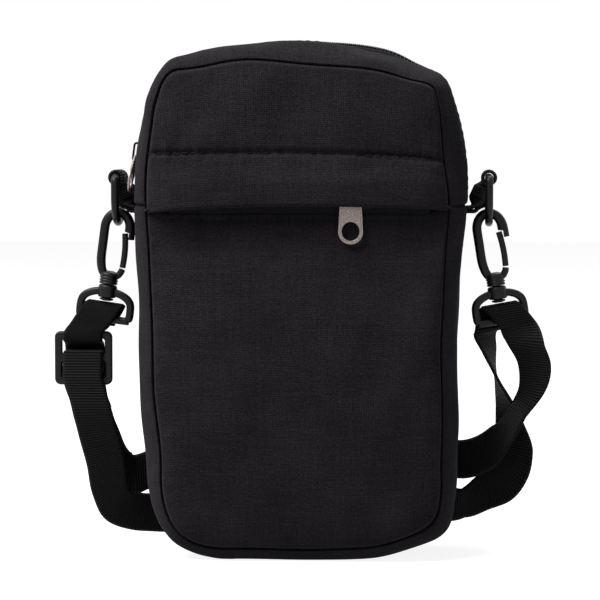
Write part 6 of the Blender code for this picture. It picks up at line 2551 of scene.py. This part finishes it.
@dataclass
class Strap:
    """The webbing strap with its adjuster: loops round both rings and bands behind the pouch."""

    hooks: dict
    outline: Outline
    maker: Maker
    bar: float = 2.8 * MM
    slot: float = 5.6 * MM
    thickness: float = 2.4 * MM
    adjuster_out: float = 7.5 * MM
    adjuster_drop: float = 14.5 * MM
    adjuster_corner: float = 2.2 * MM
    adjuster_play: float = 0.5 * MM
    adjuster_bevel: float = 0.8 * MM
    loop_rise: float = 5.6 * MM
    loop_low: float = -2.6 * MM
    band_out: float = 7 * MM
    band_reach: float = 0.8
    band_fold: float = 1.3 * MM
    upper_band: float = 0.35
    upper_slope: float = 0.049
    lower_band: float = 0.151
    lower_slope: float = 0.057
    lean: float = 0.3
    tail: float = 18 * MM

    @property
    def band_depth(self) -> float:
        """How far behind the middle the bands lie."""
        return self.outline.half_depth + self.band_out

    def bar_middle(self, side: Side) -> Vector:
        """Middle of the swivel ring's bar."""
        hook = self.hooks[side]
        return hook.ring_frame @ Vector((0, 0, -hook.bar_drop))

    def adjuster_centre(self) -> Vector:
        """Middle of the adjuster."""
        bar_place = self.bar_middle(Side.LEFT)
        return Vector((bar_place.x - self.adjuster_out, 0, bar_place.z - self.adjuster_drop))

    def ring_loop(self, side: Side, behind: float, before: float) -> list:
        """Webbing over a ring's bar, from behind it to the front.

        Args:
            side: The ring's side.
            behind: Lean of the part behind the bar.
            before: Lean of the part before it.

        Returns:
            Points, each with the direction across the webbing.
        """
        hook = self.hooks[side]
        place = hook.ring_frame
        width = (place.to_3x3() @ Vector((1, 0, 0))).normalized()
        reach = FIT.wire + 2 * FIT.gap + FIT.webbing / 2
        steps = [(1.0, self.loop_low)]
        for angle in np.linspace(0, math.pi, 9):
            depth = math.copysign(abs(math.cos(angle)) ** 0.6, math.cos(angle))
            steps.append((depth, self.loop_rise * math.sin(angle)))
        steps.append((-1.0, self.loop_low))
        places = []
        for depth, height in steps:
            lean = behind if depth > 0 else before
            shift = lean * (self.loop_rise - height)
            point = place @ Vector((shift, reach * depth, height - hook.bar_drop))
            places.append((point, width))
        return places

    def free_run(self, side: Side, stops: Sequence) -> list:
        """Places given as shares of the half width, the bands' depth and the ring bar's height."""
        height = self.bar_middle(side).z
        places = []
        for out, back, up, *width in stops:
            x = side.value * out * self.outline.half_width
            point = Vector((x, back * self.band_depth, up * height))
            places.append((point, Vector(width).normalized()))
        return places

    def band(self, share: float, slope: float, direction: int) -> list:
        """Three passes behind the pouch, folded back at each end.

        Args:
            share: Height of the band, as a share of the ring bar's.
            slope: Rise of the band to the right.
            direction: 1 if the first pass runs to the right, -1 if to the left.

        Returns:
            Points, each with the direction across the webbing.
        """
        width = Vector((0, 0, direction))
        half = self.outline.half_width * self.band_reach
        height = share * self.bar_middle(Side.RIGHT).z
        fold = self.band_fold
        places = []
        for layer in range(3):
            depth = self.band_depth + 2 * fold * layer
            heading = direction if layer % 2 == 0 else -direction
            for part in (-1, -0.96, 0.96, 1):
                x = heading * half * part
                places.append((Vector((x, depth, height + slope * x)), width))
            if layer == 2:
                break
            for i in range(1, 4):
                angle = math.pi * i / 4
                x = heading * (half + fold * math.sin(angle))
                y = depth + fold * (1 - math.cos(angle))
                places.append((Vector((x, y, height + slope * x)), width))
        return places

    def beside_adjuster(self, steps: Sequence, width: Vector) -> list:
        """Places from depths and heights measured from the adjuster's middle."""
        low = -(self.bar / 2 + self.slot)
        places = []
        for depth, height in steps:
            lean = self.lean * max(low - height, 0.0)
            places.append((self.adjuster_centre() + Vector((lean, depth, height)), width))
        return places

    def through_adjuster(self) -> list:
        """Before the top bar, back through the upper slot and down behind the middle bar."""
        surface = self.thickness / 2
        clear = FIT.gap + FIT.webbing / 2
        top = self.bar / 2 + self.slot
        behind = surface + clear + FIT.webbing + FIT.gap
        steps = [(-surface - clear, top + self.bar * 0.6)]
        steps += arc(-surface, top, clear, math.pi, 1.5 * math.pi, 2)
        steps += [(surface * 0.4, top - clear * 1.2), (behind * 0.64, top * 0.7)]
        steps += [(behind * 0.96, top * 0.43), (behind, 0.0), (behind, -top)]
        return self.beside_adjuster(steps, Vector((1, 0, 0)))

    def round_adjuster(self) -> list:
        """Up before the bottom bar, over the middle bar and down again: the sewn end."""
        surface = self.thickness / 2
        clear = FIT.gap + FIT.webbing / 2
        half = self.bar / 2
        low = -(half + self.slot)
        before = -surface - clear
        first = before - FIT.webbing - FIT.gap
        steps = [(first, low - self.tail * 0.6), (first, low - self.tail * 0.2), (first, low)]
        steps += [(first * 0.8, low * 0.5)]
        steps += arc(-surface, half, clear, math.pi, math.pi / 2, 2)
        steps += arc(surface, half, clear, math.pi / 2, 0, 2)
        steps += arc(surface, -half, clear, 0, -math.pi / 4, 1)
        steps += [(surface * 0.5, low * 0.57)]
        steps += [(before * 0.72, low * 0.77), (before, low), (before, low - self.tail * 0.6)]
        return self.beside_adjuster(steps, Vector((-1, 0, 0)))

    def places(self) -> list:
        """The whole strap, from its sewn end at the left ring to the one on the adjuster."""
        places = self.ring_loop(Side.LEFT, -0.45, -0.5) + self.through_adjuster()
        places += self.free_run(Side.LEFT, DOWN_LEFT)
        places += self.band(self.upper_band, self.upper_slope, 1)
        places += self.free_run(Side.RIGHT, UP_RIGHT)
        places += [(p, -w) for p, w in reversed(self.ring_loop(Side.RIGHT, -0.35, 0.6))]
        places += self.free_run(Side.RIGHT, DOWN_RIGHT)
        places += self.band(self.lower_band, self.lower_slope, -1)
        places += self.free_run(Side.LEFT, UP_LEFT)
        return places + self.round_adjuster()

    def smooth(self, places: Sequence, divisions: int) -> tuple:
        """Points and width directions on curves through the places.

        Args:
            places: Points with the directions across the webbing.
            divisions: Steps between one place and the next.

        Returns:
            The line's points and the direction across at each.
        """
        points = [Vector(p) for p, _ in places]
        slopes = []
        for i, point in enumerate(points):
            before = point - points[max(i - 1, 0)]
            after = points[min(i + 1, len(points) - 1)] - point
            if not before.length or not after.length:
                slopes.append((before + after).normalized())
                continue
            ratio = after.length / before.length
            slopes.append((before * ratio + after / ratio) / (before.length + after.length))
        line = []
        widths = []
        for i in range(len(points) - 1):
            length = (points[i + 1] - points[i]).length
            for t in np.linspace(0, 1, divisions, endpoint=False):
                line.append(
                    points[i] * (1 + 2 * t) * (1 - t) ** 2
                    + points[i + 1] * t * t * (3 - 2 * t)
                    + slopes[i] * length * t * (1 - t) ** 2
                    - slopes[i + 1] * length * t * t * (1 - t)
                )
                widths.append(places[i][1].lerp(places[i + 1][1], t).normalized())
        line.append(points[-1])
        widths.append(places[-1][1])
        return np.array(line), np.array(widths)

    def webbing(self) -> Piece:
        """The strap's webbing."""
        line, widths = self.smooth(self.places(), 8)
        return webbing_strip("strap_weave", line, widths, FIT.webbing_width, FIT.webbing)

    def rounded_box(self, y: float, half_width: float, half_height: float, radius: float) -> list:
        """A rounded rectangle about the adjuster's upright axis."""
        points = []
        for i, (across, up) in enumerate(((1, 1), (-1, 1), (-1, -1), (1, -1))):
            x = across * (half_width - radius)
            z = y + up * (half_height - radius)
            start = i * math.pi / 2
            points += arc(x, z, radius, start, start + math.pi / 2, 6)
        return points

    def adjuster(self) -> Piece:
        """The three-bar adjuster."""
        half_width = FIT.webbing_width / 2 + self.adjuster_play + self.bar
        half_height = self.bar * 1.5 + self.slot
        bevel = self.adjuster_bevel
        loops = [self.rounded_box(0, half_width, half_height, self.adjuster_corner)]
        for side in (-1, 1):
            middle = side * (self.bar + self.slot) / 2
            loops.append(self.rounded_box(middle, half_width - self.bar, self.slot / 2, bevel))
        half = self.thickness / 2
        body = plate("adjuster", loops, -half, half, bevel)
        place = Matrix.Translation(self.adjuster_centre()) @ Matrix.Rotation(math.pi / 2, 4, "X")
        return joined("adjuster_body", [body], place)

    def build(self) -> None:
        """Makes and dresses the strap and its adjuster."""
        finishes = self.maker.finishes
        place = self.maker.place
        place(self.webbing(), finishes.webbing, "strap", Slot.WEBBING, ["strap_webbing"])
        place(self.adjuster(), finishes.plastic, "strap", Slot.PLASTIC, ["strap_adjuster"])


# The studio


@dataclass
class Studio:
    """Pale floor and surround, soft lamps and the camera.

    Attributes:
        target: What the camera and the lamps look at.
        distance: From the target to the camera.
        azimuth: The camera's turn from the front.
        elevation: The camera's angle above the level.
        lens: The camera's focal length.
        floor_reach: Half the floor's width.
        floor_grey: Share of the lamps' light that the floor sends back.
        floor_glow: Strength of the even white that is seen on the floor.
        surround: Strength of the surround's light on the pouch.
    """

    target: tuple = (-1.0 * MM, 0.0, 92.5 * MM)
    distance: float = 0.9045
    azimuth: float = math.radians(3.5)
    elevation: float = math.radians(3.5)
    lens: float = 150.0
    floor_reach: float = 3.0
    floor_grey: float = 0.35
    floor_glow: float = 0.88
    surround: float = 0.2

    def toward(self, azimuth: float, elevation: float, distance: float) -> Vector:
        """A point at this distance from the target, seen from the front."""
        flat = math.cos(elevation)
        ray = Vector((math.sin(azimuth) * flat, -math.cos(azimuth) * flat, math.sin(elevation)))
        return Vector(self.target) + ray * distance

    def aim(self, obj: Piece, place: Vector) -> None:
        """Puts an object at a place and turns it to the target."""
        obj.location = place
        obj.rotation_euler = (Vector(self.target) - place).to_track_quat("-Z", "Y").to_euler()

    def camera(self) -> None:
        """The camera at the photograph's angle."""
        data = bpy.data.cameras.new("camera")
        data.lens = self.lens
        data.sensor_width = 36.0
        camera = added("camera", data)
        self.aim(camera, self.toward(self.azimuth, self.elevation, self.distance))
        bpy.context.scene.camera = camera

    def lamp(self, name: str, way: tuple, distance: float, size: float, power: float) -> None:
        """A soft square lamp, with its way from the target as two angles in degrees."""
        data = bpy.data.lights.new(name, "AREA")
        data.size = size
        data.energy = power
        azimuth, elevation = map(math.radians, way)
        self.aim(added(name, data), self.toward(azimuth, elevation, distance))

    def floor_white(self) -> Material:
        """A white that the camera, gloss and glass see evenly, and that keeps shadows."""
        s = Shader("floor_white")
        s.finish(colour=(self.floor_grey,) * 3, roughness=1.0, specular=0.0)
        glow = s.maths("MULTIPLY", seen_rays(s.tree), self.floor_glow)
        glowing = s.node("ShaderNodeEmission", {"Strength": glow})
        both = s.node("ShaderNodeAddShader", {0: s.principled.outputs[0], 1: glowing.outputs[0]})
        s.tree.links.new(both.outputs[0], s.tree.nodes["Material Output"].inputs["Surface"])
        return s.material

    def floor(self) -> None:
        """The floor, which reaches past the picture's edges."""
        reach = self.floor_reach
        corners = [(-reach, -reach, 0), (reach, -reach, 0), (reach, reach, 0), (-reach, reach, 0)]
        floor = mesh_piece("floor", np.array(corners), [(0, 1, 2, 3)])
        floor.data.materials.append(self.floor_white())

    def world(self) -> None:
        """An even pale surround."""
        world = bpy.data.worlds.new("surround")
        world.use_nodes = True
        tree = world.node_tree
        limits = {"Value": seen_rays(tree), "To Min": self.surround, "To Max": 1.0}
        strength = add_node(tree, "ShaderNodeMapRange", limits)
        background = tree.nodes["Background"].inputs
        plug(tree, background["Strength"], strength.outputs[0])
        plug(tree, background["Color"], (1.0, 1.0, 1.0))
        bpy.context.scene.world = world

    def build(self) -> None:
        """Sets up the studio."""
        self.camera()
        self.floor()
        self.world()
        self.lamp("key", (-56, 55), 1.3, 0.8, 33)
        self.lamp("fill", (50, 20), 1.4, 1.0, 0.5)
        self.lamp("rim", (160, 50), 1.3, 0.7, 5)
        bpy.context.scene.view_settings.view_transform = "Standard"


def main() -> None:
    """Builds the whole pouch and its studio."""
    logging.basicConfig(level=logging.INFO, format="%(message)s")
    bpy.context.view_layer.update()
    Studio().build()
    maker = Maker(make_finishes())
    outline = Outline()
    slump = Slump()
    Shell(outline, slump, maker).build()
    Inside(outline, slump, maker).build()
    Zips(outline, slump, maker).build()
    hooks = {}
    for side, tilt, turn in ((Side.LEFT, -7.5, -8), (Side.RIGHT, 9, 22)):
        ring_tab = RingTab(side, outline, maker)
        ring_tab.build()
        hooks[side] = SnapHook(ring_tab, math.radians(tilt), math.radians(turn), maker)
        hooks[side].build()
    Strap(hooks, outline, maker).build()


if __name__ == "__main__":
    main()
